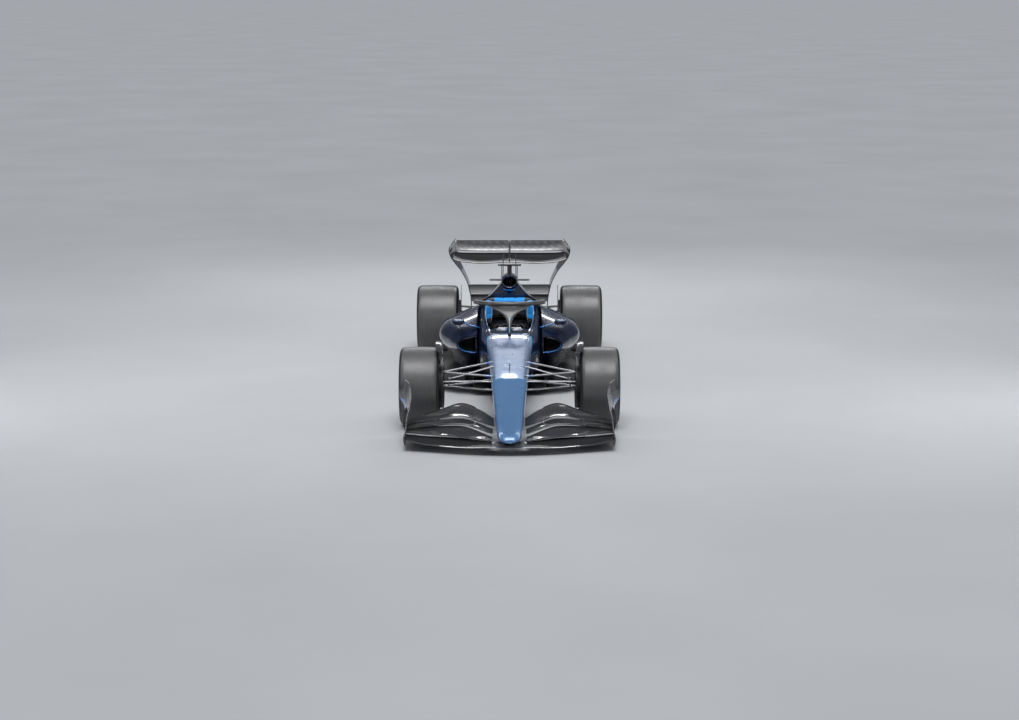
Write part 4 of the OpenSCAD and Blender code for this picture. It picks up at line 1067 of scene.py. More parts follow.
class CAR_OT_engine_cover(bpy.types.Operator):
    """Builds the engine cover with its air inlet, spine fin, louvres and panel lines"""

    bl_idname = "racing_car.engine_cover"
    bl_label = "Engine cover"

    def execute(self, context):
        def snout(inset, name):
            rings = []
            a = angles(64)
            for s in stations(SNOUT, 12):
                y = s[0] - (2 * inset if s[0] == SNOUT[0][0] else 0)
                z = MOUTH_Z - (s[0] - SNOUT[0][0]) * 0.04
                rings.append(columns((s[1] - inset) * np.cos(a), y, z + (s[2] - inset) * np.sin(a)))
            return Shape().loft(rings).piece(name, "inside" if inset else "navy")

        rows = stations(COVER, 26)
        cover = Shape().loft([cover_section(s, 0, 0) for s in rows]).piece(
            "engine_cover_skin", ["navy", "inside"], replaces=["engine_cover"], slot="navy_paint")
        last = rows[-1][0]
        drawn_in = {COVER[0][0]: 12, last: 10}
        inner = [[s[0] + drawn_in.get(s[0], 0)] + s[1:] for s in stations(COVER, 60)]
        hollow = Shape().loft([cover_section(s, 12, 60, 20) for s in inner]).piece("hollow", "inside")
        cut(cover, snout(0, "snout"), how="UNION")
        cut(cover, hollow, snout(10, "duct"))
        end = WHEELBASE - 200
        profile = clamped_curve([(2430, 955), (2520, 1004), (2620, 1008), (2760, 1000), (end - 60, 902),
                                 (end + 96, 862)], 40)
        foot = clamped_curve([(end + 96, 862), (end + 84, 780), (end + 60, 700), (end - 10, 640)], 16)
        fin = Shape().plate([tuple(p) for p in profile] + [tuple(p) for p in foot[1:]] + [(2700, 900)], -4, 4)
        fin.piece("spine_fin", "navy", round_edges=2.5)
        mouth = [(74 * math.cos(t), 2014, MOUTH_Z + 60 * math.sin(t)) for t in angles(72)]
        Shape().tube(mouth, 6, 7, 14, up=(0, 1, 0), closed=True).piece("air_inlet_rim", "navy")
        # A bright blue strip under the inlet's mouth: a painted highlight where the lower lip catches light.
        glow = [(58 * math.cos(t), 2016 + 22 * (1 + math.sin(t)), 938 + 16 * math.sin(t))
                for t in np.linspace(math.pi, math.tau, 30)]
        wide = 2 + 7 * np.sin(np.linspace(0, math.pi, 30))
        Shape().tube(glow, wide, 5, 12, up=(0, 1, 0)).piece("chin_painted_highlight", "accent")
        bar = Shape()
        for x in (-24, 24):
            bar.arm((x, 2030, 950), (x, 2030, 1066), 26, 5)
        bar.piece("air_inlet_vanes", "inside")
        slats = Shape()
        for k in range(7):
            y = 2760 + 62 * k
            ring = cover_section(station(COVER, y), 0, 0, 60)
            ring_back = cover_section(station(COVER, y + 44), 0, 0, 60)
            front, back = ring[22:40:2] + [1.5, 0, 1.5], ring_back[22:40:2] + [9, 0, 7]
            slats.sheet([front, (front + back) / 2 + [2.5, 0, 2], back], (1.5, 0, 2))
        slats.both().piece("cooling_louvres", "navy", sharp=50)
        seams = Shape()
        for y in (2310, 2860):
            ring = cover_section(station(COVER, y), -0.3, 0, 60)
            seams.tube(ring[4:-4], 2.0, 1.6, 6, up=(0, 1, 0))
        seams.piece("cover_panel_lines", "inside")
        return {"FINISHED"}


class CAR_OT_sidepods(bpy.types.Operator):
    """Builds the sidepods with their inlets, painted inlet rims, radiator cores and louvres"""

    bl_idname = "racing_car.sidepods"
    bl_label = "Sidepods"

    def execute(self, context):
        for side, name in SIDES:
            pod = Shape().loft([pod_section(s) for s in stations(POD, 26)]).on_side(side)
            rings = []
            for y in (1280, 1420, 1600, 1780, 1900):
                s = station(POD, max(y, POD[0][0]))
                core = pod_section(s, 19).mean(0)
                ring = core + (pod_section(s) - core) * (0.84 - max(0, y - 1420) / 3000)
                ring[:, 1] = y
                rings.append(ring)
            duct = Shape().loft(rings).on_side(side)
            rim_line = columns(rings[0][:, 0] * side, POD[0][0] - 1, rings[0][:, 2])
            core = Shape().loft([rings[3] * [1, 0, 1] + [0, y, 0] for y in (1840, 1850)]).on_side(side)
            skin = pod.piece(f"{name}_sidepod_skin", ["navy", "inside"], replaces=[f"{name}_sidepod"],
                             slot="navy_paint")
            cut(skin, duct.piece("duct", "inside"))
            smooth_shade(skin, 32)
            core.piece(f"{name}_radiator_core", "alloy")
            low = rim_line[:, 2] < rim_line[:, 2].mean() + 8
            first = next(i for i in range(len(low)) if low[i] and not low[i - 1])
            bright = [p for p, k in zip(np.roll(rim_line, -first, 0), np.roll(low, -first)) if k]
            Shape().tube(rim_line, 5, 5, 12, up=(0, 1, 0), closed=True).piece(f"{name}_inlet_rim", "navy")
            Shape().tube(bright, 6.2, 6.2, 12, up=(0, 1, 0)).piece(f"{name}_inlet_accent", "accent")
            slats = Shape()
            for k in range(8):
                y = 2060 + 64 * k
                front = pod_section(station(POD, y), 88)[56:78:2] + [0.5, 0, 1.0]
                back = pod_section(station(POD, y + 40), 88)[56:78:2] + [1.5, 0, 9.0]
                slats.sheet([front, (front + back) / 2 + [0.5, 0, 2], back], (0, 1.5, 2))
            slats.on_side(side).piece(f"{name}_sidepod_louvres", "navy", sharp=50)
        return {"FINISHED"}


# y, half width, inner edge of the tunnel, height of the tunnel, height of the edge
FLOOR = [
    [1230, 480, 335, 235, 225],
    [1400, 640, 335, 180, 120],
    [1700, 760, 300, 105, 62],
    [2100, 780, 240, 74, 58],
    [2900, 780, 220, 74, 58],
    [WHEELBASE - 500, 750, 200, 78, 58],
    [WHEELBASE - 375, 545, 190, 86, 58],
    [WHEELBASE - 200, 540, 180, 104, 58],
    [WHEELBASE + 100, 532, 160, 210, 58],
    [WHEELBASE + 400, 525, 150, 330, 56],
]


class CAR_OT_floor(bpy.types.Operator):
    """Builds the floor with its tunnel fences, edge strip and plank"""

    bl_idname = "racing_car.floor"
    bl_label = "Floor"

    def execute(self, context):
        grid = []
        for s in stations(FLOOR, 30):
            side = [[s[1], s[4]], [s[1] - 40, s[3] - 3], [(s[1] + s[2]) / 2, s[3]], [s[2] + 50, s[3]],
                    [s[2], 50], [80, 50]]
            side = np.array(side)
            fine = [a * (1 - t) + b * t for a, b in zip(side, side[1:]) for t in np.linspace(0, 1, 5, False)]
            fine = np.array([*fine, side[-1]])
            fine[1:-1] = (fine[:-2] + 2 * fine[1:-1] + fine[2:]) / 4
            line = np.concatenate([fine, fine[::-1] * [-1, 1]])
            grid.append(columns(line[:, 0], s[0], line[:, 1]))
        floor = Shape().sheet(grid, (0, 0, 10))
        nose_part = [[(x, y, 50) for x in np.linspace(-w, w, 13)] for y, w in
                     ((880, 110), (900, 122), (920, 138), (940, 150), (1240, 150))]
        floor.sheet(nose_part, (0, 0, 10))
        floor.piece("floor_panel", "carbon_bare", replaces=["car_floor"], slot="carbon", sharp=40)
        fences = Shape()
        for k, (x0, x1) in enumerate(((350, 372), (395, 440), (438, 520))):
            path = []
            for t in np.linspace(0, 1, 15):
                y = 1236 + 40 * k + t * 420
                x = x0 + (x1 - x0) * t ** 1.5
                s = station(FLOOR, y)
                roof = s[3] - 2
                foot = max(62, roof - 150 + 40 * t)
                path.append([(x, y, foot), (x, y, (foot + roof) / 2), (x, y, roof)])
            fences.sheet(path, (5, 0, 0))
        fences.both().piece("tunnel_fences", "carbon_bare", sharp=40)
        spots = [station(FLOOR, y) for y in np.linspace(1720, WHEELBASE - 520, 40)]
        edge = Shape().tube([(s[1] - 6, s[0], s[4] + 12) for s in spots], 14, 8, 12)
        edge.both().piece("floor_edge_strip", "carbon", sharp=50)
        stays = Shape()
        for y in (2050, 2650):
            s = station(POD, y)
            stays.arm((745, y, 66), (s[6] + 60, y, s[5] - 10 if y < 2300 else s[5]), 22, 4)
        stays.both().piece("floor_stays", "rod")
        dress("skid_plank", "plank")
        return {"FINISHED"}


# ---- Cockpit ----

SEAM_WIDTH = 7.0


def point_array(mesh):
    """The mesh's points as an array."""
    co = np.zeros(len(mesh.vertices) * 3)
    mesh.vertices.foreach_get("co", co)
    return co.reshape(-1, 3)


def puffed(obj, voxel, pressure, cap):
    """Fills a closed cover with foam: an even mesh blown up by cloth pressure, no point by more than cap."""
    remesh = obj.modifiers.new("Even mesh", "REMESH")
    remesh.mode = "VOXEL"
    remesh.voxel_size = voxel * MM
    bake(obj)
    start = end = point_array(obj.data)
    cloth = obj.modifiers.new("Foam", "CLOTH")
    cloth.settings.use_pressure = True
    cloth.settings.uniform_pressure_force = pressure
    cloth.settings.tension_stiffness = cloth.settings.compression_stiffness = 30
    cloth.settings.bending_stiffness = 2
    cloth.settings.effector_weights.gravity = 0
    cloth.collision_settings.use_collision = False
    scene = bpy.context.scene
    for f in range(1, 21):
        scene.frame_set(f)
    end = point_array(obj.evaluated_get(bpy.context.evaluated_depsgraph_get()).data)
    obj.modifiers.clear()
    scene.frame_set(1)
    move = end - start
    move -= move.mean(0)
    far = np.linalg.norm(move, axis=1, keepdims=True)
    end = start + move * np.minimum(1, cap * MM / np.maximum(far, 1e-9))
    obj.data.vertices.foreach_set("co", end.ravel())
    obj.data.update()
    soften = obj.modifiers.new("Soft surface", "SMOOTH")
    soften.iterations = 6
    soften.factor = 0.5
    bake(obj)
    smooth_shade(obj, 180)
    return obj


def sewn(obj, channels, depth):
    """Presses sewn channels into a pad; channels are (axis number, place in millimetres)."""
    mesh = obj.data
    co = np.array([v.co for v in mesh.vertices])
    normal = np.array([v.normal for v in mesh.vertices])
    local = co / MM - [0, FRONT_AXLE / MM, 0]
    press = np.zeros(len(co))
    for axis, place in channels:
        across = 1 - np.abs(normal[:, axis])
        press = np.maximum(press, np.exp(-(((local[:, axis] - place) / SEAM_WIDTH) ** 2)) * across)
    co = co - normal * (press * depth)[:, None]
    mesh.vertices.foreach_set("co", co.ravel())
    mesh.update()


class CAR_OT_halo(bpy.types.Operator):
    """Builds the halo: hoop, blended centre strut, feet and the light edge of the strut"""

    bl_idname = "racing_car.halo"
    bl_label = "Halo"

    def execute(self, context):
        half = through([[0, 1262, 905], [130, 1285, 906], [255, 1400, 896], [330, 1600, 872],
                        [330, 1830, 838],
                        [282, 1955, 800], [277, 1972, 792]], 14)
        whole = np.concatenate([(half * [-1, 1, 1])[:0:-1], half])
        shape = Shape().tube(whole, 58, 43, 28, squareness=0.8)
        rows = [[652.5, 1075, 12, 30], [700, 1100, 14, 29], [740, 1124, 21, 29], [785, 1155, 40, 28],
                [820, 1180, 70, 25],
                [845, 1202, 108, 22], [862, 1222, 152, 20], [876, 1242, 205, 18], [888, 1262, 250, 14]]
        a = angles(36)
        rings = []
        for s in stations(rows, 6):
            across = s[2] * power(np.cos(a), 0.9)
            bow = max(0, s[2] - 60) / 190 * (across / 250) ** 2 * 110
            rings.append(columns(across, s[1] + bow - s[3] * np.sin(a), s[0]))
        shape.loft(rings)
        foot = Shape().solid([(776.3, 32), (788, 31), (806, 27)], (HALO_REAR_X, HALO_REAR_Y, 0), "z", 48)
        shape.join(foot.both())
        hoop = shape.piece("halo_hoop", "halo", replaces=["halo"], slot="halo_finish")
        remesh = hoop.modifiers.new("Even mesh", "REMESH")
        remesh.mode = "VOXEL"
        remesh.voxel_size = 3.6 * MM
        blend = hoop.modifiers.new("Blended joints", "SMOOTH")
        blend.iterations = 9
        blend.factor = 0.5
        bake(hoop)
        refinish(hoop, "halo")
        smooth_shade(hoop, 60)
        spots = [station(rows, z) for z in np.linspace(662, 800, 24)]
        edge = [(0, s[1] - s[3] - 0.6, s[0]) for s in spots]
        strut_edge = Shape().tube(edge, np.linspace(7.5, 5, 24), 4, 12, up=(0, 1, 0))
        strut_edge.piece("halo_strut_edge", "light_accent")
        bolts = Shape()
        for y in (HALO_REAR_Y - 22, HALO_REAR_Y + 24):
            bolts.turned([(786, TINY), (792, 5), (793, 4), (793, TINY)], (HALO_REAR_X, y, 0), "z", 12)
        bolts.both().piece("halo_bolts", "rod")
        return {"FINISHED"}


class CAR_OT_padding(bpy.types.Operator):
    """Builds the headrest and the side pads, blown up and sewn"""

    bl_idname = "racing_car.padding"
    bl_label = "Headrest and side pads"

    def execute(self, context):
        trim = settings().trim
        back = COCKPIT_END
        side = [(222, 1566), (233, 1640), (230, back - 62), (228, back - 64), (178, back - 140), (183, 1640),
                (188, 1584)]
        rear = [(186, back - 6), (226, back - 58), (176, back - 134), (150, back - 128), (110, back - 103),
                (0, back - 100), (-110, back - 103), (-150, back - 128), (-176, back - 134),
                (-226, back - 58), (-186, back - 6)]
        for name, outline in (("left_side_pad", side), ("right_side_pad", [(-x, y) for x, y in side[::-1]]),
                              ("headrest", rear)):
            pad = Shape().plate(outline, 666, 838 if name != "headrest" else 842, "z")
            pad = pad.piece(name, "pads", replaces=["cockpit_surround"], slot="blue_padding")
            puffed(pad, 6, 3.5, 7)
            seams = [(2, 752), (1, 1700), (1, 1830)] if name != "headrest" else [(2, 752), (0, 60), (0, -60)]
            sewn(pad, seams, trim.seam)
            refinish(pad, "pads", "pads_low")
            for face in pad.data.polygons:
                x, z = abs(face.center.x), face.center.z
                low = z < 0.818 or x > 0.15 if name == "headrest" else z < 0.712
                face.material_index = 1 if low else 0
        low, high = 661.5, 664.5
        tray = Shape().plate(side, low, high, "z").both().plate(rear, low, high, "z")
        tray.piece("pad_tray", "carbon_bare")
        return {"FINISHED"}


class CAR_OT_seat(bpy.types.Operator):
    """Builds the moulded seat shell, its liner and the belts"""

    bl_idname = "racing_car.seat"
    bl_label = "Seat"

    def execute(self, context):
        line = through([[1424, 240], [1560, 192], [1686, 158], [1760, 152], [1815, 176], [1880, 300],
                        [1960, 470], [1988, 620]], 8)
        normal = np.gradient(line, axis=0)
        normal = np.stack([-normal[:, 1], normal[:, 0]], 1) / np.linalg.norm(normal, axis=1)[:, None]
        count = len(line)

        def layer(lift, half, edge):
            grid = []
            for i, (p, n) in enumerate(zip(line, normal)):
                u = i / (count - 1)
                bolster = edge * (0.35 + 0.65 * math.sin(math.pi * min(1, u * 1.15)) ** 0.6)
                width = half * (1 - 0.1 * math.sin(math.pi * u))
                grid.append([[width * v,
                              *(p + n * (lift + bolster * abs(v) ** 5))] for v in np.linspace(-1, 1, 33)])
            return grid

        shell = Shape().sheet(layer(0, 197, 118), (0, 1.5, 6))
        shell.piece("seat_shell", "carbon_bare", replaces=["seat"], slot="seat_shell", sharp=60)
        rim = [row[0] for row in layer(3, 197, 118)]
        beads = Shape().tube(rim, 9, 9, 12)
        beads.both().piece("seat_edge", "black")
        liner = Shape().sheet(layer(12, 172, 84)[2:-2], (0, -6, 10))
        liner = liner.piece("seat_liner", "seat_cloth")
        puffed(liner, 7, 2.5, 6)
        sewn(liner, [(0, 62), (0, -62), (1, 1640), (1, 1750), (2, 330), (2, 450)], 0.004)
        refinish(liner, "seat_cloth")
        path = []
        for t in np.linspace(0, 1, 30):
            k = t * (count - 12) + 8
            i = int(k)
            p = line[i] + (line[min(i + 1, count - 1)] - line[i]) * (k - i)
            path.append((62 + 12 * t - 40 * (1 - t) ** 2, *(p + normal[i] * (36 + 6 * math.sin(t * 9)))))
        straps = Shape().tube(path[6:], 46, 3, 8, squareness=0.35)
        lap = [(x, 1700 + abs(x) * 0.15, 205 + (abs(x) / 150) ** 2 * 60) for x in np.linspace(20, 165, 16)]
        straps.tube(lap, 46, 3, 8, up=(0, 0.4, 1), squareness=0.35)
        straps.both().piece("belts", "belt")
        buckle = Shape().solid([(0, 27), (6, 30), (12, 27), (13, 10)], axis="z", steps=48)
        buckle = buckle.moved(lambda p: np.array([p[0], 1700 + p[1] * 0.92 - p[2] * 0.3,
                                                  205 + p[2] + p[1] * 0.3]))
        buckle.piece("belt_buckle", "rod")
        return {"FINISHED"}


class CAR_OT_steering_wheel(bpy.types.Operator):
    """Builds the steering wheel with its grips, display, knobs, buttons, paddles and column"""

    bl_idname = "racing_car.steering_wheel"
    bl_label = "Steering wheel"

    def execute(self, context):
        body = "steering_wheel_body"
        outline = [(-112, -52), (-60, -66), (60, -66), (112, -52), (118, 10), (112, 56), (60, 70), (-60, 70),
                   (-112, 56),
                   (-118, 10)]
        plate = Shape().plate(outline, -20, -2, "z")
        column_shape(plate).piece("wheel_plate", "carbon", body, round_edges=4, replaces=["steering_wheel"],
                                  slot="carbon")
        grips = Shape()
        path = through([(112, 64, -9), (131, 46, -9), (134, 8, -9), (130, -30, -9), (112, -60, -9)], 10)
        thick = 25 + 4 * np.sin(np.linspace(0, math.pi * 5, len(path))) * 0.5
        grips.tube(path, thick, 26, 20, up=(0, 0, 1))
        grips.ball((112, 64, -9), 12.3).ball((112, -60, -9), 12.3)
        column_shape(grips.both()).piece("wheel_grips", "grip", body)
        screen = Shape().plate(rectangle(-47, -4, 47, 50), -2, 1.5, "z")
        column_shape(screen).piece("wheel_display", "display", body, round_edges=1.5)
        frame_line = Shape().tube([(-49, -6, 0), (49, -6, 0), (49, 52, 0), (-49, 52, 0)], 4, 4, 8,
                                  closed=True)
        column_shape(frame_line).piece("display_frame", "black", body)
        lights = Shape()
        for k in range(10):
            lights.solid([(-2, 3), (1, 3), (2, 1.5)], (-45 + 10 * k, 60, 0), "z", 16)
        column_shape(lights).piece("shift_lights", "button_green", body)
        buttons = (
            ("red_buttons", "button_red", ((-92, 34), (84, -22))),
            ("blue_buttons", "button_blue", ((92, 34), (-84, -22), (-72, 50))),
            ("yellow_buttons", "button_yellow", ((72, 50), (-98, 4))),
            ("black_buttons", "black", ((98, 4), (-66, 12), (66, 12))),
        )
        for name, finish, spots in buttons:
            dots = Shape()
            for u, v in spots:
                dots.solid([(-3, 8), (0, 8), (0.6, 6.8), (3.4, 6.4), (4, 5)], (u, v, 0), "z", 32)
            column_shape(dots).piece(name, finish, body)
        knobs = Shape()
        for u, v, r in ((0, -36, 15), (-46, -34, 12), (46, -34, 12)):
            knobs.solid([(-3, r + 3), (-1, r + 3), (-1, r), (8, r - 2), (9, r - 4)], (u, v, 0), "z", 24)
            knobs.plate(rectangle(u - 1.6, v + 2, u + 1.6, v + r - 1), 8.5, 11, "z")
        column_shape(knobs).piece("wheel_knobs", "anodised", body, sharp=25)
        paddles = Shape().plate([(58, 20), (116, 34), (124, 2), (108, -26), (58, -12)], -33, -29, "z")
        paddles.plate(rectangle(50, -6, 62, 14), -32, -18, "z")
        column_shape(paddles.both()).piece("shift_paddles", "carbon", body, round_edges=1)
        hub = Shape().solid([(-320, 16), (-60, 16), (-58, 26), (-36, 30), (-24, 34), (-20, 34)],
                             axis="z", steps=64)
        column_shape(hub).piece("steering_column", "rod", body)
        return {"FINISHED"}


class CAR_OT_mirrors(bpy.types.Operator):
    """Builds the mirror housings with glass, a painted pale highlight on their tops, and stays"""

    bl_idname = "racing_car.mirrors"
    bl_label = "Mirrors"

    def execute(self, context):
        def outline(y, wide, high):
            return body_section([0, wide, -high, 0, high, 3, 2.6], 64) + [504, y, 712]

        rows = [[1322, 0.45], [1326, 0.72], [1334, 0.88], [1348, 0.98], [1370, 1.02], [1388, 1.02],
                [1392, 1.0]]
        house = Shape().loft([outline(y, 64 * k, 30 * k) for y, k in
                              [station(rows, y) for y in np.linspace(1322, 1392, 24)]])
        house.arm((470, 1372, 708), (300, 1414, 652), 34, 8)
        house.arm((500, 1368, 690), (456, 1486, 610), 30, 7)
        obj = house.both().piece("mirror_housings", ["navy", "mirror_top_highlight", "accent"], replaces=["mirrors"],
                                 slot="navy_paint")
        # Upward faces high on the housings get the painted highlight; faces inboard of the housings get the
        # accent blue.
        for face in obj.data.polygons:
            x, z = abs(face.center.x), face.center.z
            if face.normal.z > 0.45 and z > 0.72 and abs(x - 0.504) < 0.07:
                face.material_index = 1
            elif z < 0.7 or x < 0.44:
                face.material_index = 2 if x < 0.44 else 0
        glass = Shape().loft([outline(y, 64 * k, 30 * k) for y,
                              k in ((1391.5, 0.9), (1393.2, 0.9), (1393.6, 0.88))])
        glass.both().piece("mirror_glass", "mirror")
        rims = Shape().tube(outline(1392.5, 61, 28), 4, 4, 8, up=(0, 1, 0), closed=True).both()
        rims.piece("mirror_rims", "black")
        return {"FINISHED"}


class CAR_OT_camera_mast(bpy.types.Operator):
    """Builds the camera bar over the air inlet, its mast, rods and side bars"""

    bl_idname = "racing_car.camera_mast"
    bl_label = "Camera mast"

    def execute(self, context):
        a = angles(36)

        def along_x(rows):
            return Shape().loft([columns(x, y + deep * power(np.cos(a), 0.75),
                                         z + high * power(np.sin(a), 0.75))
                                 for x, y, z, deep, high in rows])

        ends = [(0, 31, 9.5), (96, 31, 9.5), (110, 29, 9), (116, 24, 7.5), (118, 15, 4)]
        whole = [(-x, deep, high) for x, deep, high in ends[:0:-1]] + ends
        bar = along_x([(x, 2181, 1156.5, deep, high) for x, deep, high in whole])
        bar.piece("camera_bar", "black", replaces=["camera_pod"], slot="carbon", sharp=50)
        rings = []
        for z, wide, deep in ((1046, 26, 54), (1070, 24, 48), (1110, 22, 44), (1140, 24, 40), (1150, 28, 34)):
            rings.append(columns(wide * power(np.cos(a), 0.9),
                                 2196 + deep * np.sin(a) * (1 - 0.15 * np.cos(a)), z))
        Shape().loft(rings).piece("camera_mast_skin", "black", sharp=60)
        rods = Shape().tube([(78, 2180, 1022), (78, 2180, 1150)], 8, up=(0, 1, 0))
        rods.solid([(1020, 8), (1026, 8), (1028, 4)], (78, 2180, 0), "z", 24)
        rods.both().piece("camera_rods", "black")
        ends = ((62, 28, 8), (120, 28, 8), (190, 27, 7.5), (201, 24, 6), (205, 16, 3))
        side = along_x([(x, 2193, 1002, deep, high) for x, deep, high in ends])
        side.both().piece("side_bars", "black", sharp=50)
        lenses = Shape()
        for x in (-92, 92):
            lenses.solid([(2148, 4.5), (2149.5, 6.5), (2153, 6.5)], (x, 0, 1156.5), "y", 32)
        lenses.piece("camera_lenses", "display")
        return {"FINISHED"}


# ---- Front wing ----

# x, front y, front z, rear y, rear z, thickness, camber
MAIN_PLANE = [
    [0, -1250, 70, -1045, 84, 14, 6],
    [160, -1240, 74, -1045, 88, 14, 8],
    [432, -1190, 62, -985, 106, 16, 16],
    [700, -1120, 70, -950, 112, 15, 16],
    [899.7, -1075, 98, -910, 122, 12, 8],
]
LOWER_FLAP = [
    [150, -1085, 104, -960, 108, 10, 4],
    [432, -1030, 124, -860, 184, 15, 16],
    [660, -985, 130, -820, 168, 13, 13],
    [899.7, -940, 138, -820, 147, 8, 4],
]
MIDDLE_FLAP = [
    [146, -945, 128, -800, 142, 10, 6],
    [432, -880, 200, -742, 224, 12, 14],
    [660, -840, 184, -730, 200, 11, 11],
    [899.7, -840, 156, -740, 158, 8, 3],
]
UPPER_FLAP = [
    [138, -785, 160, -630, 198, 10, 8],
    [270, -775, 200, -580, 270, 12, 14],
    [425, -745, 246, -550, 314, 13, 20],
    [602, -725, 222, -550, 262, 12, 17],
    [899.7, -700, 176, -580, 172, 8, 3],
]
# y, top, distance out at the foot, in the middle and at the top
FRONT_ENDPLATE = [
    [-1085, 135, 5, 4, 2],
    [-1000, 180, 1, 1, -2],
    [-900, 255, 0, -1, -8],
    [-800, 345, 0, -8, -28],
    [-720, 430, 0, -15, -38],
    [-650, 490, 0, -5, -28],
    [-580, 525, 12, 30, 5],
    [-510, 528, 25, 75, 35],
]


def wing(rows, step=16, count=22):
    return Shape().loft([wing_section(s, count) for s in stations(rows, step)])


def trailing_tab(rows, height, thick, x0, x1):
    """Small upright lip on the trailing edge between x0 and x1."""
    grid = []
    for x in np.arange(x0, x1 + 0.1, (x1 - x0) / max(1, round((x1 - x0) / 16))):
        s = station(rows, x)
        chord = math.hypot(s[3] - s[1], s[4] - s[2])
        along = np.array([s[3] - s[1], s[4] - s[2]]) / chord
        up = np.array([-along[1], along[0]])
        p = s[3:5] - along * thick
        grid.append([[x, *(p + up * h)] for h in (0, height / 2, height)])
    return Shape().sheet(grid, (0, thick, 0))


class CAR_OT_front_wing(bpy.types.Operator):
    """Builds the front wing's main plane and three flaps with their slot brackets, lips and adjusters"""

    bl_idname = "racing_car.front_wing"
    bl_label = "Front wing"

    def execute(self, context):
        wing(both_ways(MAIN_PLANE)).piece("front_main_plane", "carbon", replaces=["front_wing_mainplane"],
                                          slot="carbon")
        for name, rows, node, lip in (("front_lower_flap", LOWER_FLAP, "front_wing_lower_flap", 0),
                                      ("front_middle_flap", MIDDLE_FLAP, "front_wing_middle_flap", 0),
                                      ("front_upper_flap", UPPER_FLAP, "front_wing_upper_flap", 9)):
            flap = wing(rows)
            if lip:
                flap.join(trailing_tab(rows, lip, 2.4, 300, 760))
            flap.both().piece(name, "carbon", replaces=[node], slot="carbon")
        brackets = Shape()
        for x, pairs in ((205, (0, 1)), (432, (0, 1, 2)), (655, (0, 1, 2)), (815, (0, 1, 2))):
            tables = [MAIN_PLANE, LOWER_FLAP, MIDDLE_FLAP, UPPER_FLAP]
            for k in pairs:
                back = np.array(station(tables[k], x)[3:5])
                ahead = np.array(station(tables[k + 1], x)[1:3])
                brackets.plate([back + [-34, -3], back + [-10, 1], ahead + [26, 6], ahead + [40, -4],
                                ahead + [2, -10],
                                back + [-12, -9]], x - 1.6, x + 1.6)
        brackets.both().piece("slot_brackets", "steel", round_edges=0.6)
        x, y, z = station(UPPER_FLAP, 300)[:3]
        adjusters = Shape().tube([(x, y + 6, z - 4), (x, y - 26, z - 38)], 9)
        adjusters.solid([(0, 8), (14, 8), (15, 6)], (x, y - 10, z - 24), "z", 6)
        adjusters.both().piece("flap_adjusters", "rod")
        return {"FINISHED"}


class CAR_OT_front_endplates(bpy.types.Operator):
    """Builds the front wing's endplates with their feet, edge rolls and outer blades"""

    bl_idname = "racing_car.front_endplates"
    bl_label = "Front endplates"

    def execute(self, context):
        def plate_point(y, v, out=0.0):
            s = station(FRONT_ENDPLATE, y)
            share = [[0, s[2]], [0.45, s[2]], [0.7, s[3]], [1, s[4]]]
            return [900 + table_value(share, v, 1) + out, y, 60 + v * (s[1] - 60)]

        ys = np.linspace(-1085, -510, 62)
        grid = [[plate_point(y, v) for v in np.linspace(0, 1, 30)] for y in ys]
        plates = Shape().sheet(grid, (10, 0, 0)).both()
        plates.piece("front_endplate_skins", "endplate", replaces=["front_wing_endplates"], slot="carbon",
                     sharp=40,
                     round_edges=2.2)
        rows, shares = [], np.linspace(0, 1, 9)
        for y in np.linspace(-1060, -530, 40):
            out = 26 * math.sin(math.pi * (y + 1060) / 530) ** 0.5 + 2
            base = plate_point(y, 0.0, 5)
            rows.append([[base[0] + out * t, y, 60 + 16 * t**2 * (1 - 0.4 * t)] for t in shares])
        feet = Shape().sheet(rows, (0, 0, 5)).both()
        feet.piece("front_endplate_feet", "carbon", sharp=50, round_edges=1.5)
        roll = Shape().tube([plate_point(y, 1.0, 5) for y in ys], 12, 9, 12)
        roll.both().piece("front_endplate_rolls", "carbon", sharp=60)
        rows = []
        for t in np.linspace(0, 1, 22):
            y = -905 + 300 * t
            v = 0.38 + 0.1 * t
            base = plate_point(y, v, 8)
            reach = 4 + 26 * math.sin(math.pi * t) ** 0.7
            rows.append([[base[0] + reach * u, y, base[2] + 14 * u**1.6] for u in np.linspace(0, 1, 7)])
        blades = Shape().sheet(rows, (0, 0, 4)).both()
        blades.piece("front_endplate_blades", "carbon", sharp=50, round_edges=1)
        return {"FINISHED"}


# ---- Front suspension and steering ----

KINGPIN_X = FRONT_WHEEL_X - 200
HUB_X = FRONT_WHEEL_X - 50
RACK_Z = 425
TRACK_ROD_Y = -100


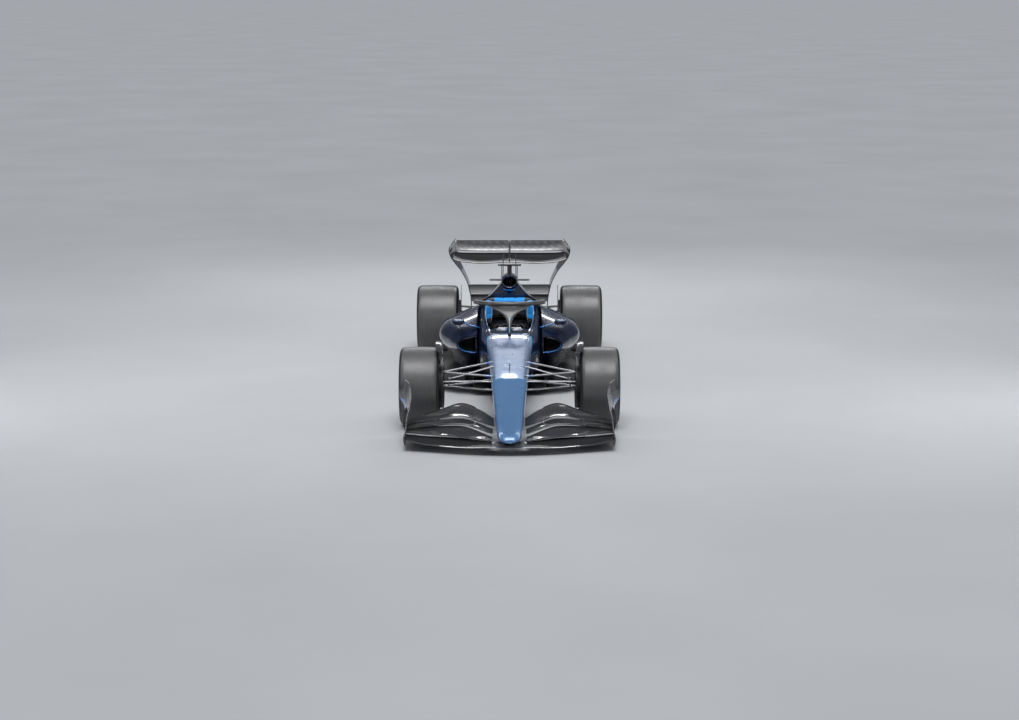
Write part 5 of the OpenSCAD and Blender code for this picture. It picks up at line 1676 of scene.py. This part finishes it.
class CAR_OT_front_suspension(bpy.types.Operator):
    """Builds the front wishbones, push rods and their fittings"""

    bl_idname = "racing_car.front_suspension"
    bl_label = "Front suspension"

    def execute(self, context):
        arms, caps, shrouds = Shape(), Shape(), Shape()
        legs = ((490, (140, -240, 500)), (490, (150, 290, 528)), (360, (120, -260, 376)),
                (360, (150, 230, 372)))
        for out_z, inner in legs:
            out = np.array([KINGPIN_X, 0, out_z], float)
            inner = np.array(inner, float)
            d = unit(inner - out)
            start = out + d * 22
            end = out + d * (np.linalg.norm(inner - out) - 6)
            arms.arm(start, end, 46, 17, ends=1.12, sides=28)
            skin_at = table_value(CELL, inner[1], 1) + 3
            at = (KINGPIN_X - skin_at) / (KINGPIN_X - inner[0])
            q = out + (inner - out) * min(1, at)
            cap = Shape().arm(q - d * 30, q - d * 2, 52, 19, ends=1.0, sides=28)
            (caps if out_z > 400 else shrouds).join(cap)
        for z in (478, 348):
            arms.turned([(z, 12.4), (z, 22), (z + 2, 24), (z + 22, 24), (z + 24, 22), (z + 24, 12.4)],
                        (KINGPIN_X, 0, 0),
                        "z", 64, closed=True)
        arms.both().piece("front_wishbone_arms", "arms", replaces=["front_wishbones"], slot="silver_arms")
        caps.both().piece("arm_caps", "anodised")
        shrouds.both().piece("arm_shrouds", "arms")
        rods = Shape().arm((556, 0, 424), (150, 100, 524), 40, 16, ends=1.1, sides=28)
        rods.ball((556, 0, 424), 17, steps=32)
        rods.solid([(366.3, 8), (424, 8)], (556, 0, 0), "z", 32)
        rods.both().piece("front_push_rod_arms", "arms", replaces=["front_push_rods"], slot="silver_arms")
        feet = Shape().plate(rectangle(-24, 354, 24, 366), KINGPIN_X - 90, KINGPIN_X - 24)
        feet.both().piece("push_rod_brackets", "rod", round_edges=2)
        return {"FINISHED"}


class CAR_OT_steering_gear(bpy.types.Operator):
    """Builds the steering rack with its track rods, joints and gaiters"""

    bl_idname = "racing_car.steering_gear"
    bl_label = "Steering rack and track rods"

    def execute(self, context):
        body = "steering_rack_body"
        rack = (0, TRACK_ROD_Y, RACK_Z)
        bar = Shape().solid([(-106, 14), (-104, 16), (104, 16), (106, 14)], rack, steps=64)
        bar.piece("rack_bar", "steel", body, replaces=["steering_rack"], slot="silver_arms")
        rods = Shape().arm((101, TRACK_ROD_Y, RACK_Z), (KINGPIN_X - 20, TRACK_ROD_Y, RACK_Z), 50, 14,
                           sides=28)
        rods.turned([(420, 15.2), (420, 21), (421.5, 23), (428.5, 23), (430, 21), (430, 15.2)],
                    (KINGPIN_X, TRACK_ROD_Y, 0), "z", 64, closed=True)
        rods.both().piece("track_rods", "arms", body)
        profile = [(96, 13)]
        for k in range(5):
            profile += [(98 + 6 * k, 17), (101 + 6 * k, 12.5)]
        profile += [(128, 10)]
        Shape().solid(profile, rack, steps=48).both().piece("rack_gaiters", "grip", body, sharp=70)
        return {"FINISHED"}


def drum_profile(start, end, bore):
    """Outline of a brake drum's shell, open on the inner side."""
    r = DRUM_R
    return [(start, r - 8), (start, r - 1), (start + 1, r), (end - 6, r), (end, r - 6), (end, bore),
            (end - 10, bore),
            (end - 10, r - 8)]


class CAR_OT_front_uprights(bpy.types.Operator):
    """Builds the front uprights with drum, spindle, steering arm, kingpins and brake parts"""

    bl_idname = "racing_car.front_uprights"
    bl_label = "Front uprights"

    def execute(self, context):
        pivot = (KINGPIN_X, 0, 0)
        rod_end = (KINGPIN_X, TRACK_ROD_Y, 0)
        for side, name in SIDES:
            body = f"{name}_front_upright_body"
            shell = drum_profile(KINGPIN_X - 20, HUB_X - 10, 31)
            drum = Shape().turned(shell, (0, 0, AXLE_Z), steps=128, closed=True)
            solid = Shape().plate([(-32, 290), (32, 290), (45, 306), (45, 458), (30, 474), (-30, 474),
                                   (-45, 458), (-45, 306)],
                        KINGPIN_X + 30, HUB_X - 20)
            for z0, z1 in ((440, 474), (376, 398)):
                solid.solid([(z0, 22), (z0 + 2, 24), (z1 - 2, 24), (z1, 22)], pivot, "z", 48)
                solid.block((KINGPIN_X, -20, z0), (KINGPIN_X + 40, 20, z1))
            solid.plate([(KINGPIN_X - 15, -100), (KINGPIN_X - 8, -112), (KINGPIN_X + 8, -112),
                         (KINGPIN_X + 16, -98),
                         (KINGPIN_X + 66, -44), (KINGPIN_X + 60, -28), (KINGPIN_X + 36, -30),
                         (KINGPIN_X - 10, -88)],
                        400, 412, "z")
            metal_parts = Shape()
            for z0, z1 in ((460, 502), (348, 382)):
                metal_parts.solid([(z0, 11), (z0 + 1, 12), (z1 - 1, 12), (z1, 11)], pivot, "z", 48)
            metal_parts.solid([(410, 7), (433, 7), (434, 6)], rod_end, "z", 32)
            metal_parts.solid([(430.3, 11), (437, 11), (438, 10)], rod_end, "z", 6)
            metal_parts.solid([(HUB_X - 40, 30), (HUB_X + 138, 30), (HUB_X + 140, 28)], (0, 0, AXLE_Z),
                              steps=64)
            scoop = Shape().sheet([[(KINGPIN_X - 20 + x, y, z) for z in np.linspace(448, top, 12)]
                                   for y, top, x in ((-196, 470, -14), (-160, 500, -4), (-90, 520, 10))],
                                  (3, 0, 0))
            parts = [(drum, f"{name}_brake_drum", "carbon_duct"), (solid, f"{name}_upright_casting", "rim"),
                     (metal_parts, f"{name}_spindle_and_pins", "rod"),
                     (scoop, f"{name}_drum_scoop", "carbon_duct")]
            for shape, piece, finish in parts:
                obj = shape.on_side(side).piece(piece, finish, body, round_edges=1.5 if shape is solid else 0)
                if shape is drum:
                    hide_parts(f"{name}_front_knuckle")
        return {"FINISHED"}


class CAR_OT_winglets(bpy.types.Operator):
    """Builds the winglets over the front tyres and their inner fences"""

    bl_idname = "racing_car.winglets"
    bl_label = "Front winglets"

    def execute(self, context):
        fence = KINGPIN_X - 14
        front = through([(-175, 190), (-230, 240), (-268, 330), (-272, 430), (-250, 530), (-205, 620),
                         (-140, 690),
                         (-60, 735), (40, 752)], 6)
        rear = through([(-150, 260), (-152, 330), (-150, 400), (-100, 520), (-40, 640), (60, 700)], 6)
        for side, name in SIDES:
            body = f"{name}_front_upright_body"
            plate = Shape().plate(np.concatenate([front, rear[::-1]]), fence, fence + 6).on_side(side)
            obj = plate.piece(f"{name}_tyre_fence", "carbon", body, round_edges=2,
                              replaces=[f"{name}_front_winglet"], slot="carbon")
            disc = Shape().solid([(fence - 4, DRUM_R + 0.3), (fence + 10, DRUM_R + 0.3)], (0, 0, AXLE_Z),
                                 steps=128)
            cut(obj, disc.on_side(side).piece("drum_room", "inside", body), first=True)
            grid = []
            for y in np.linspace(-180, 60, 28):
                z = AXLE_Z + math.sqrt(392**2 - (y - 10) ** 2)
                line = clamped_curve([(0, -14), (3, 0), (16, 8), (40, 14), (64, 14)], 12)
                grid.append([(fence + p[0], y, z + p[1]) for p in line])
            winglet = Shape().sheet(grid, (0, 0, 5)).on_side(side)
            winglet.piece(f"{name}_tyre_winglet", "carbon", body, sharp=45, round_edges=1.6)
        return {"FINISHED"}


# ---- Wheels ----

# Which end, tyre width, place of the middle
AXLES = (("front", 360, FRONT_WHEEL_X, 0), ("rear", 447, REAR_WHEEL_X, WHEELBASE))
RIM_R = 229.0


def tyre_profile(width, rim):
    """Outline of a slick tyre: bead, bulging sidewall, shoulder and a faintly crowned tread."""
    h, r = width / 2, AXLE_Z
    side = clamped_curve([(h - 36, rim + 2), (h - 30, rim + 9), (h - 16, rim + 14), (h - 5, rim + 32),
                          (h - 1, r - 92),
                          (h, r - 62), (h - 3, r - 36), (h - 14, r - 16), (h - 34, r - 5), (h - 62, r - 3),
                          (h - 80, r - 2.2)], 36)
    crown = [(x, r - 2.2 * (x / (h - 80)) ** 2) for x in np.linspace(h - 80, 80 - h, 13)[1:-1]]
    whole = [tuple(p) for p in side] + crown + [(-x, q) for x, q in side[::-1]]
    inner = [(36 - h, rim + 0.3), (h - 36, rim + 0.3)]
    return whole + inner


class CAR_OT_tyres(bpy.types.Operator):
    """Builds the four slick tyres with sidewall rings"""

    bl_idname = "racing_car.tyres"
    bl_label = "Tyres"

    def execute(self, context):
        for end, width, x, y in AXLES:
            for side, name in SIDES:
                outline = tyre_profile(width, RIM_R)
                tyre = Shape().turned(outline, (side * x, y, AXLE_Z), steps=160, closed=True)
                obj = tyre.piece(f"{name}_{end}_tyre_skin", ["sidewall", "tread"], f"{name}_{end}_wheel_body",
                                 replaces=[f"{name}_{end}_tyre"], slot="tyre_rubber", sharp=50)
                flat = width / 2 - 22
                # Faces of the flat band take the tread finish, whose lighter grey is partly a painted sheen.
                for face in obj.data.polygons:
                    out = face.center.x / MM - side * x
                    far = math.hypot(face.center.z / MM - AXLE_Z, (face.center.y - FRONT_AXLE) / MM - y)
                    if abs(out) < flat and far > AXLE_Z - 30:
                        face.material_index = 1
                rings = Shape()
                h = width / 2
                for s in (1, -1):
                    for r, d in ((AXLE_Z - 88, 0.2), (AXLE_Z - 50, 0.6)):
                        rings.turned([(s * (h - d - 3), r - 2.5), (s * (h - d), r - 1.2),
                                      (s * (h - d + 0.1), r + 1.2),
                                      (s * (h - d - 3), r + 2.5)], (side * x, y, AXLE_Z), steps=128,
                                     closed=True)
                rings.piece(f"{name}_{end}_tyre_rings", "sidewall", f"{name}_{end}_wheel_body")
        return {"FINISHED"}


class CAR_OT_wheels(bpy.types.Operator):
    """Builds the rims, flat covers, wheel nuts, hubs and drive shafts"""

    bl_idname = "racing_car.wheels"
    bl_label = "Wheels"

    def execute(self, context):
        rear_hub = -64
        for end, width, x, y in AXLES:
            h, rim = width / 2, RIM_R
            face = h - 40
            hub, bore = (HUB_X - FRONT_WHEEL_X, 30.8) if end == "front" else (rear_hub, 0.5)
            for side, name in SIDES:
                body = f"{name}_{end}_wheel_body"
                barrel = Shape().turned(
                    [(h - 34, rim - 9), (h - 26, rim - 10), (h - 22.5, rim + 2), (h - 22, rim + 7),
                     (h - 25, rim + 8),
                     (h - 31, rim + 8), (h - 35, rim + 1), (h - 37, rim), (37 - h, rim), (35 - h, rim + 1),
                     (31 - h, rim + 8),
                     (25 - h, rim + 8), (22 - h, rim + 6), (24 - h, rim - 2), (30 - h, rim - 9),
                     (-20, rim - 10), (h - 70, rim - 12)],
                    steps=128, closed=True)
                web = Shape().turned([(hub, bore), (hub, 73), (hub + 3, 75), (face - 14, 75), (face - 10, 80),
                                      (face - 10, rim - 40), (h - 62, rim - 10), (h - 56, rim - 10),
                                      (face - 4, rim - 34),
                                      (face - 4, bore)], steps=128, closed=True)
                spokes = Shape()
                for k in range(10):
                    angle = math.tau * k / 10
                    c, s = math.cos(angle), math.sin(angle)
                    fin = Shape().plate([(hub + 20, 73), (face - 10, 73), (face - 12, rim - 40),
                                         (face - 26, rim - 38),
                                         (face - 40, 140)], -5, 5, "z")
                    spokes.join(fin.moved(lambda p, c=c,
                                          s=s: np.array([p[0], p[1] * c - p[2] * s, p[1] * s + p[2] * c])))
                cover = Shape().turned(
                    [(face - 2, 0.5), (face + 4, 0.5), (face + 4, 46), (face + 2, 52), (face + 5, 70),
                     (face + 8, 110), (face + 9, 150),
                     (face + 9, 176), (face + 7.4, 178), (face + 7.4, 181), (face + 9, 183),
                     (face + 10, rim - 22), (face + 11, rim - 13),
                     (face + 6, rim - 11), (face + 2, rim - 14)], steps=128)
                nut = Shape().turned([(face + 2, 0.5), (face + 2, 38), (face + 12, 38), (face + 14, 36),
                                      (face + 14, 28)], steps=24)
                nut.turned([(face + 4, 20), (face + 16, 20), (face + 20, 17), (face + 20, 12),
                            (face + 8, 10)], steps=48, closed=True)
                collar = Shape().turned([(face + 3, 38.5), (face + 9, 38.5), (face + 10, 41), (face + 8, 45),
                                         (face + 3, 46)],
                                        steps=96, closed=True)
                drive = Shape()
                if end == "rear":
                    drive.turned([(100 - x, 0.5), (100 - x, 25), (rear_hub + 18, 25), (rear_hub + 20, 24),
                                  (rear_hub + 20, 0.5)], steps=64)
                    boot = 176 - x
                    profile = [(boot - 26, 25.2)]
                    for k in range(5):
                        profile += [(boot - 22 + 10 * k, 44 - 3.4 * k), (boot - 17 + 10 * k, 37 - 2.6 * k)]
                    drive.turned([*profile, (boot + 30, 25.2)], steps=48, finish=1)
                parts = [(barrel, "rim", "rim"), (web, "web", "rim"), (spokes, "spokes", "rim"),
                         (cover, "cover", "cover"),
                         (nut, "nut", "nut"), (collar, "collar", "anodised" if side > 0 else "button_red")]
                if end == "rear":
                    parts.append((drive, "drive_shaft", ["steel", "grip"]))
                for shape, piece, finish in parts:
                    placed = shape.moved(lambda p: p + [x, y, AXLE_Z]).on_side(side)
                    obj = placed.piece(f"{name}_{end}_{piece}", finish, body, sharp=34)
                    if piece == "rim":
                        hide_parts(f"{name}_{end}_wheel")
        return {"FINISHED"}


# ---- Engine, gearbox and rear suspension ----

GEARBOX = [
    [2920.6, 190, 130, 330, 500, 5, 5],
    [WHEELBASE - 200, 120, 190, 340, 490, 5, 5],
    [WHEELBASE + 150, 92, 220, 340, 470, 5, 5],
    [WHEELBASE + 260, 70, 290, 350, 430, 5, 5],
    [WHEELBASE + 640, 44, 320, 362, 404, 5, 5],
]
REAR_HUB_X = REAR_WHEEL_X - 64
UPRIGHT_X = REAR_HUB_X - 160


class CAR_OT_powertrain(bpy.types.Operator):
    """Builds the engine, gearbox with its crash structure, exhaust and rain light"""

    bl_idname = "racing_car.powertrain"
    bl_label = "Engine, gearbox and exhaust"

    def execute(self, context):
        dress("engine", "alloy")
        pipes = Shape()
        for k in range(4):
            y = 2420 + 125 * k
            pipes.tube(through([(150, y, 528), (205, y + 8, 500), (221, y + 22, 430), (222, y + 44, 360)], 8),
                       34)
        pipes.both().piece("engine_manifolds", "exhaust")
        case = Shape().loft([body_section(s, 64) for s in stations(GEARBOX, 24)])
        case.piece("gearbox_case", "carbon_bare", replaces=["gearbox"], slot="engine_metal")
        bosses = Shape().turned([(-150, 25.2), (-150, 44), (-146, 47), (146, 47), (150, 44), (150, 25.2),
                                 (100, 25.2), (98, 0.5),
                                 (-98, 0.5), (-100, 25.2)], (0, WHEELBASE, AXLE_Z), steps=64, closed=True)
        bosses.turned([(WHEELBASE + 152, 0.5), (WHEELBASE + 152, 24), (WHEELBASE + 260, 25),
                       (WHEELBASE + 262, 24),
                       (WHEELBASE + 262, 13), (WHEELBASE + 192, 13), (WHEELBASE + 192, 0.5)], (0, 0, 262),
                      "y", 48)
        bosses.piece("gearbox_bosses", "alloy")
        ribs = Shape()
        for places, points, wide, high in (((3480, 3600, 3720, 3840), 64, 7, 5), ((3940, 4100), 48, 4, 3)):
            for y in places:
                ribs.tube(body_section(station(GEARBOX, y), points), wide, high, 8, up=(0, 1, 0), closed=True)
        ribs.piece("gearbox_ribs", "carbon_bare")
        start = np.array([0, WHEELBASE - 60, 545.0])
        tilt = math.radians(3)
        c, s = math.cos(tilt), math.sin(tilt)
        pipe = Shape().turned([(0, 46), (0, 50), (292, 50), (298, 51.5), (300, 50), (300, 46)], axis="y",
                              steps=96, closed=True)
        pipe = pipe.moved(lambda p: start + [p[0], p[1] * c + p[2] * s, p[2] * c - p[1] * s + p[1] * 0.105])
        pipe.piece("tailpipe", "exhaust", replaces=["exhaust"], slot="exhaust_metal")
        bracket = Shape().plate(rectangle(WHEELBASE + 40, 470, WHEELBASE + 54, 506), -22, 22)
        bracket.piece("tailpipe_bracket", "steel", round_edges=1.5)
        light = Shape().plate(rectangle(-40, 332, 40, 392), REAR_END - 79.7, REAR_END - 66, "y")
        light.piece("rain_light_housing", "black", replaces=["rain_light"], slot="light_lens", round_edges=3)
        glass = Shape().plate(rectangle(-35, 337, 35, 387), REAR_END - 67, REAR_END - 63, "y")
        glass.piece("rain_light_lens", "lamp", round_edges=1.5)
        return {"FINISHED"}


class CAR_OT_rear_suspension(bpy.types.Operator):
    """Builds the rear uprights with their drums, vanes and wishbones"""

    bl_idname = "racing_car.rear_suspension"
    bl_label = "Rear suspension"

    def execute(self, context):
        shell = drum_profile(UPRIGHT_X - 30, REAR_HUB_X - 14, 26)
        drums = Shape().turned(shell, (0, WHEELBASE, AXLE_Z), steps=128, closed=True)
        drums.both().piece("rear_drums", "carbon_duct", replaces=["rear_uprights"], slot="carbon")
        castings = Shape().turned([(UPRIGHT_X, 25.3), (UPRIGHT_X, 58), (UPRIGHT_X + 4, 62),
                                   (REAR_HUB_X - 18, 62),
                                   (REAR_HUB_X - 14, 58), (REAR_HUB_X - 14, 25.3)], (0, WHEELBASE, AXLE_Z),
                                  steps=96, closed=True)
        castings.plate([(WHEELBASE - 30, 205), (WHEELBASE + 30, 205), (WHEELBASE + 30, 300),
                        (WHEELBASE + 30, 420),
                        (WHEELBASE + 30, 515), (WHEELBASE - 30, 515), (WHEELBASE - 30, 420),
                        (WHEELBASE - 30, 300)],
                       UPRIGHT_X, UPRIGHT_X + 30)
        castings.both().piece("rear_upright_castings", "rim", round_edges=2.5)
        line = through([(-215, 330), (-240, 480), (-215, 640), (-150, 725), (-60, 735)], 8)
        back = through([(-50, 600), (-84, 500), (-120, 420), (-150, 330)], 8)
        vane = Shape().plate([(WHEELBASE + y, z) for y, z in line] + [(WHEELBASE + y, z) for y, z in back],
                             UPRIGHT_X - 35, UPRIGHT_X - 27)
        vane.both().piece("rear_vanes", "carbon", round_edges=2)
        arms = Shape()
        legs = ((-12, 495, [80, WHEELBASE - 110, 452], 40), (12, 495, [70, WHEELBASE + 130, 448], 40),
                (-12, 225, [80, WHEELBASE - 160, 250], 44), (12, 225, [70, WHEELBASE + 120, 268], 44),
                (0, 300, [70, WHEELBASE + 140, 330], 30), (-20, 462, [80, WHEELBASE - 170, 270], 30))
        joints = Shape()
        for y, z, inner, chord in legs:
            out = np.array([UPRIGHT_X + 4, WHEELBASE + y, z], float)
            inner = np.array(inner, float)
            arms.arm(out, inner, chord, 14, ends=1.15, sides=28)
            d = unit(inner - out)
            joints.arm(out - d * 2, out + d * 34, chord + 5, 19, sides=24)
        arms.both().piece("rear_wishbone_arms", "carbon_bare", replaces=["rear_wishbones"], slot="carbon")
        joints.both().piece("rear_arm_ends", "arms")
        return {"FINISHED"}


# ---- Rear wing ----

# height, half width in front and behind, front y and back y ahead of the rear end
REAR_PLATE = [
    [345, 425, 425, 460, 260],
    [470, 425, 423, 450, 240],
    [665, 456, 450, 430, 210],
    [832, 533, 520, 440, 170],
    [930, 606, 575, 470, 70],
    [1000, 650, 590, 490, 20],
    [1075, 668, 606, 500, 0],
    [1120, 655, 618, 490, 0],
    [1137, 640, 606, 460, 20],
]
REAR_MAIN = [
    [0, REAR_END - 470, 938, REAR_END - 252, 1014, 22, 20],
    [293, REAR_END - 470, 924, REAR_END - 252, 1012, 24, 26],
    [500, REAR_END - 468, 938, REAR_END - 252, 1014, 20, 20],
    [640, REAR_END - 452, 974, REAR_END - 252, 1028, 14, 12],
]
REAR_FLAP = [
    [0, REAR_END - 288, 1036, REAR_END - 92, 1124, 14, 16],
    [300, REAR_END - 288, 1034, REAR_END - 92, 1124, 15, 18],
    [596, REAR_END - 284, 1040, REAR_END - 92, 1124, 11, 10],
]
UPPER_BEAM = [
    [0, REAR_END - 400, 574, REAR_END - 265, 660, 11, 12],
    [466, REAR_END - 396, 580, REAR_END - 265, 660, 10, 9],
]
LOWER_BEAM = [
    [0, REAR_END - 445, 500, REAR_END - 335, 562, 11, 11],
    [446, REAR_END - 440, 500, REAR_END - 335, 562, 10, 9],
]


def rear_plate_x(y, z):
    """Inner face of a rear endplate at the place y, z."""
    s = station(REAR_PLATE, z)
    v = (y - (REAR_END - s[3])) / (s[3] - s[4])
    return s[1] + (s[2] - s[1]) * min(1, max(0, v)) - 10


def fitted(shape, reach):
    """Draws the outer ends of a wing in to the endplates' inner faces."""
    def move(p):
        if abs(p[0]) < reach:
            return p
        limit = rear_plate_x(p[1], min(1137, max(345, p[2]))) - 0.3
        return np.array([math.copysign(min(abs(p[0]), limit), p[0]), p[1], p[2]])
    return shape.moved(move)


class CAR_OT_rear_wing(bpy.types.Operator):
    """Builds the rear wing: main plane, opening flap with its pod, endplates, pylons and beam wing"""

    bl_idname = "racing_car.rear_wing"
    bl_label = "Rear wing"

    def execute(self, context):
        fitted(wing(both_ways(REAR_MAIN), 14, 26), 520).piece(
            "rear_main_plane", "carbon", replaces=["rear_wing_mainplane"], slot="carbon")
        flap = wing([[12] + station(REAR_FLAP, 12)[1:]] + REAR_FLAP[1:], 14, 26).both()
        flap.join(trailing_tab(REAR_FLAP, 8, 2.2, 14, 588).both())
        obj = flap.piece("opening_flap_skin", ["carbon", "wing_weave"], "flap_body", replaces=["drs_flap"],
                         slot="carbon")
        for face in obj.data.polygons:
            if face.normal.y < 0 and face.normal.z > 0.1:
                face.material_index = 1
        a = angles(32)
        y0 = REAR_END - 292
        rows = [[y0, 1036, 3, 4], [y0 + 12, 1042, 9, 9], [y0 + 60, 1062, 11, 13], [y0 + 120, 1094, 11, 13],
                [y0 + 176, 1120, 8, 9], [y0 + 196, 1128, 3, 4]]
        rings = [columns(s[2] * np.cos(a), s[0], s[1] + s[3] * np.sin(a)) for s in stations(rows, 8)]
        Shape().loft(rings).piece("flap_pod", "black", "flap_body", sharp=60)
        tips = Shape().plate([(REAR_END - 292, 1028), (REAR_END - 190, 1058), (REAR_END - 84, 1106),
                              (REAR_END - 84, 1132),
                              (REAR_END - 292, 1052)], 590, 597)
        tips.both().piece("flap_end_ribs", "carbon", "flap_body", round_edges=1.5)
        pins = Shape().turned([(594, 0.5), (594, 6), (621, 6), (622, 5), (622, 0.5)],
                              (0, REAR_END - 105, 1117), steps=32)
        pins.both().piece("flap_pins", "rod", "flap_body")
        def across(z, inset, steps):
            """Points from the front edge to the back edge of the endplate at this height."""
            s = station(REAR_PLATE, z)
            return [(s[1] + (s[2] - s[1]) * v - inset, REAR_END - s[3] + (s[3] - s[4]) * v, z)
                    for v in np.linspace(0, 1, steps)]

        plates = Shape().sheet([across(z, 10, 30) for z in np.linspace(345, 1137, 60)], (10, 0, 0)).both()
        plates.piece("rear_endplate_skins", "carbon", replaces=["rear_wing_endplates"], slot="carbon",
                     sharp=40,
                     round_edges=2.4)
        rolls = Shape().tube(across(1134, 5, 24), 13, 8, 12).both()
        rolls.piece("rear_endplate_rolls", "carbon", sharp=60)
        spots = [station(REAR_PLATE, z) for z in np.linspace(640, 820, 20)]
        lamps = Shape().tube([(s[2] - 5, REAR_END - s[4] - 1, s[0]) for s in spots], 7, 5, 10,
                             up=(0, 1, 0)).both()
        lamps.piece("endplate_lamps", "lamp", sharp=60)
        upper, lower = [fitted(wing(both_ways(rows)), 380) for rows in (UPPER_BEAM, LOWER_BEAM)]
        upper.piece("upper_beam_wing", "arms", replaces=["beam_wing"], slot="carbon")
        lower.piece("lower_beam_wing", "carbon")
        path = through([(WHEELBASE + 150, 440, 90), (WHEELBASE + 166, 620, 70), (WHEELBASE + 170, 800, 60),
                        (WHEELBASE + 185, 940, 56),
                        (WHEELBASE + 225, 1005, 50), (WHEELBASE + 285, 1003, 44), (WHEELBASE + 322, 976, 36)],
                       10)
        a = angles(28)
        rings = []
        for i, p in enumerate(path):
            d = unit(path[min(i + 1, len(path) - 1)][:2] - path[max(i - 1, 0)][:2])
            wide = p[2] / 2 * np.cos(a)
            rings.append(columns(69.5 + 5.5 * power(np.sin(a), 0.7), p[0] - d[1] * wide, p[1] + d[0] * wide))
        Shape().loft(rings).both().piece("rear_pylon_skins", "carbon", replaces=["rear_wing_pylon"],
                                         slot="carbon", sharp=50)
        rows = [[REAR_END - 440, 952, 6, 10], [REAR_END - 420, 970, 9, 24], [REAR_END - 380, 995, 10, 34],
                [REAR_END - 345, 1022, 10, 52],
                [REAR_END - 326, 1040, 9, 56], [REAR_END - 319, 1040, 6, 54]]
        actuator = Shape().loft([columns(s[2] * power(np.cos(a), 0.8), s[0],
                                         s[1] + s[3] * power(np.sin(a), 0.8))
                                 for s in stations(rows, 6)])
        actuator.piece("flap_actuator_pod", "black", sharp=60)
        return {"FINISHED"}


# ---- Stage ----


class CAR_OT_stage(bpy.types.Operator):
    """Builds the pale floor, the soft lights and the camera"""

    bl_idname = "racing_car.stage"
    bl_label = "Stage"

    def execute(self, context):
        stage = settings().stage
        scene = context.scene
        mesh = bpy.data.meshes.new("stage_floor")
        reach = 400
        corners = [(-reach, -60, 0), (reach, -60, 0), (reach, reach, 0), (-reach, reach, 0)]
        mesh.from_pydata(corners, [], [(0, 1, 2, 3)])
        mesh.materials.append(material("stage"))
        floor = bpy.data.objects.new("stage_floor", mesh)
        scene.collection.objects.link(floor)

        world = bpy.data.worlds.new("studio")
        world.use_nodes = True
        sky = world.node_tree.nodes["Background"].inputs
        sky["Color"].default_value = (0.74, 0.82, 1.0, 1)
        sky["Strength"].default_value = 0.16
        scene.world = world
        sun = bpy.data.lights.new("ceiling", "SUN")
        sun.energy = 2.7 * stage.power
        sun.angle = math.radians(38)
        obj = bpy.data.objects.new("ceiling", sun)
        obj.rotation_euler = (math.radians(22), 0, 0)
        scene.collection.objects.link(obj)
        # Name, place, point it faces, size and watts
        lights = (
            ("front_box", (0, -13, 5.4), (0, -1.5, 0.4), (7.0, 0.8), 90),
            ("left_strip", (4.6, -1.0, 4.4), (0, -0.2, 0.5), (0.5, 9.0), 110),
            ("right_strip", (-4.6, -1.0, 4.4), (0, -0.2, 0.5), (0.5, 9.0), 110),
            ("rear_strip", (0, 7.5, 5.0), (0, 1.5, 0.6), (6.0, 0.7), 160),
        )
        for name, place, target, size, watts in lights:
            lamp = bpy.data.lights.new(name, "AREA")
            lamp.shape = "RECTANGLE"
            lamp.size, lamp.size_y = size
            lamp.energy = watts * stage.power
            obj = bpy.data.objects.new(name, lamp)
            obj.location = place
            obj.rotation_euler = (Vector(target) - Vector(place)).to_track_quat("-Z", "Y").to_euler()
            scene.collection.objects.link(obj)

        lens_data = bpy.data.cameras.new("camera")
        lens_data.lens = stage.lens
        lens_data.sensor_width = 36.0
        lens_data.clip_end = 300
        camera = bpy.data.objects.new("camera", lens_data)
        camera.location = (0, FRONT_AXLE - stage.distance, stage.height)
        camera.rotation_euler = (math.pi / 2 - stage.pitch, 0, 0)
        scene.collection.objects.link(camera)
        scene.camera = camera
        scene.view_settings.view_transform = "Standard"
        return {"FINISHED"}


# ---- Settings, panel and running ----


class RacingCarSettings(bpy.types.PropertyGroup):
    """All the settings of the car"""

    paint: bpy.props.PointerProperty(type=PaintColours, name="Paint", description="Colours of the car")
    trim: bpy.props.PointerProperty(type=TrimSizes, name="Trim", description="Sizes of the trim")
    stage: bpy.props.PointerProperty(type=StageSettings, name="Stage", description="Floor, light and camera")


OPERATORS = (
    CAR_OT_survival_cell, CAR_OT_nose, CAR_OT_engine_cover, CAR_OT_sidepods, CAR_OT_floor, CAR_OT_halo,
    CAR_OT_padding,
    CAR_OT_seat, CAR_OT_steering_wheel, CAR_OT_mirrors, CAR_OT_camera_mast, CAR_OT_front_wing,
    CAR_OT_front_endplates,
    CAR_OT_front_suspension, CAR_OT_steering_gear, CAR_OT_front_uprights, CAR_OT_winglets, CAR_OT_tyres,
    CAR_OT_wheels,
    CAR_OT_powertrain, CAR_OT_rear_suspension, CAR_OT_rear_wing, CAR_OT_stage,
)


class CAR_PT_racing_car(bpy.types.Panel):
    """Sizes and colours of the car, and a button for each piece"""

    bl_label = "Racing car"
    bl_idname = "CAR_PT_racing_car"
    bl_space_type = "VIEW_3D"
    bl_region_type = "UI"
    bl_category = "Racing car"

    def draw(self, context):
        layout = self.layout
        car = settings()
        for title, group in (("Paint", car.paint), ("Trim", car.trim), ("Stage", car.stage)):
            box = layout.box()
            box.label(text=title)
            for name in group.__annotations__:
                box.prop(group, name)
        column = layout.column()
        for operator in OPERATORS:
            column.operator(operator.bl_idname)


CLASSES = (PaintColours, TrimSizes, StageSettings, RacingCarSettings, *OPERATORS, CAR_PT_racing_car)


def register():
    for cls in CLASSES:
        bpy.utils.register_class(cls)
    bpy.types.Scene.racing_car = bpy.props.PointerProperty(type=RacingCarSettings)


def unregister():
    del bpy.types.Scene.racing_car
    for cls in reversed(CLASSES):
        bpy.utils.unregister_class(cls)


def main():
    register()
    for operator in OPERATORS:
        group, name = operator.bl_idname.split(".")
        getattr(getattr(bpy.ops, group), name)()


if __name__ == "__main__":
    main()
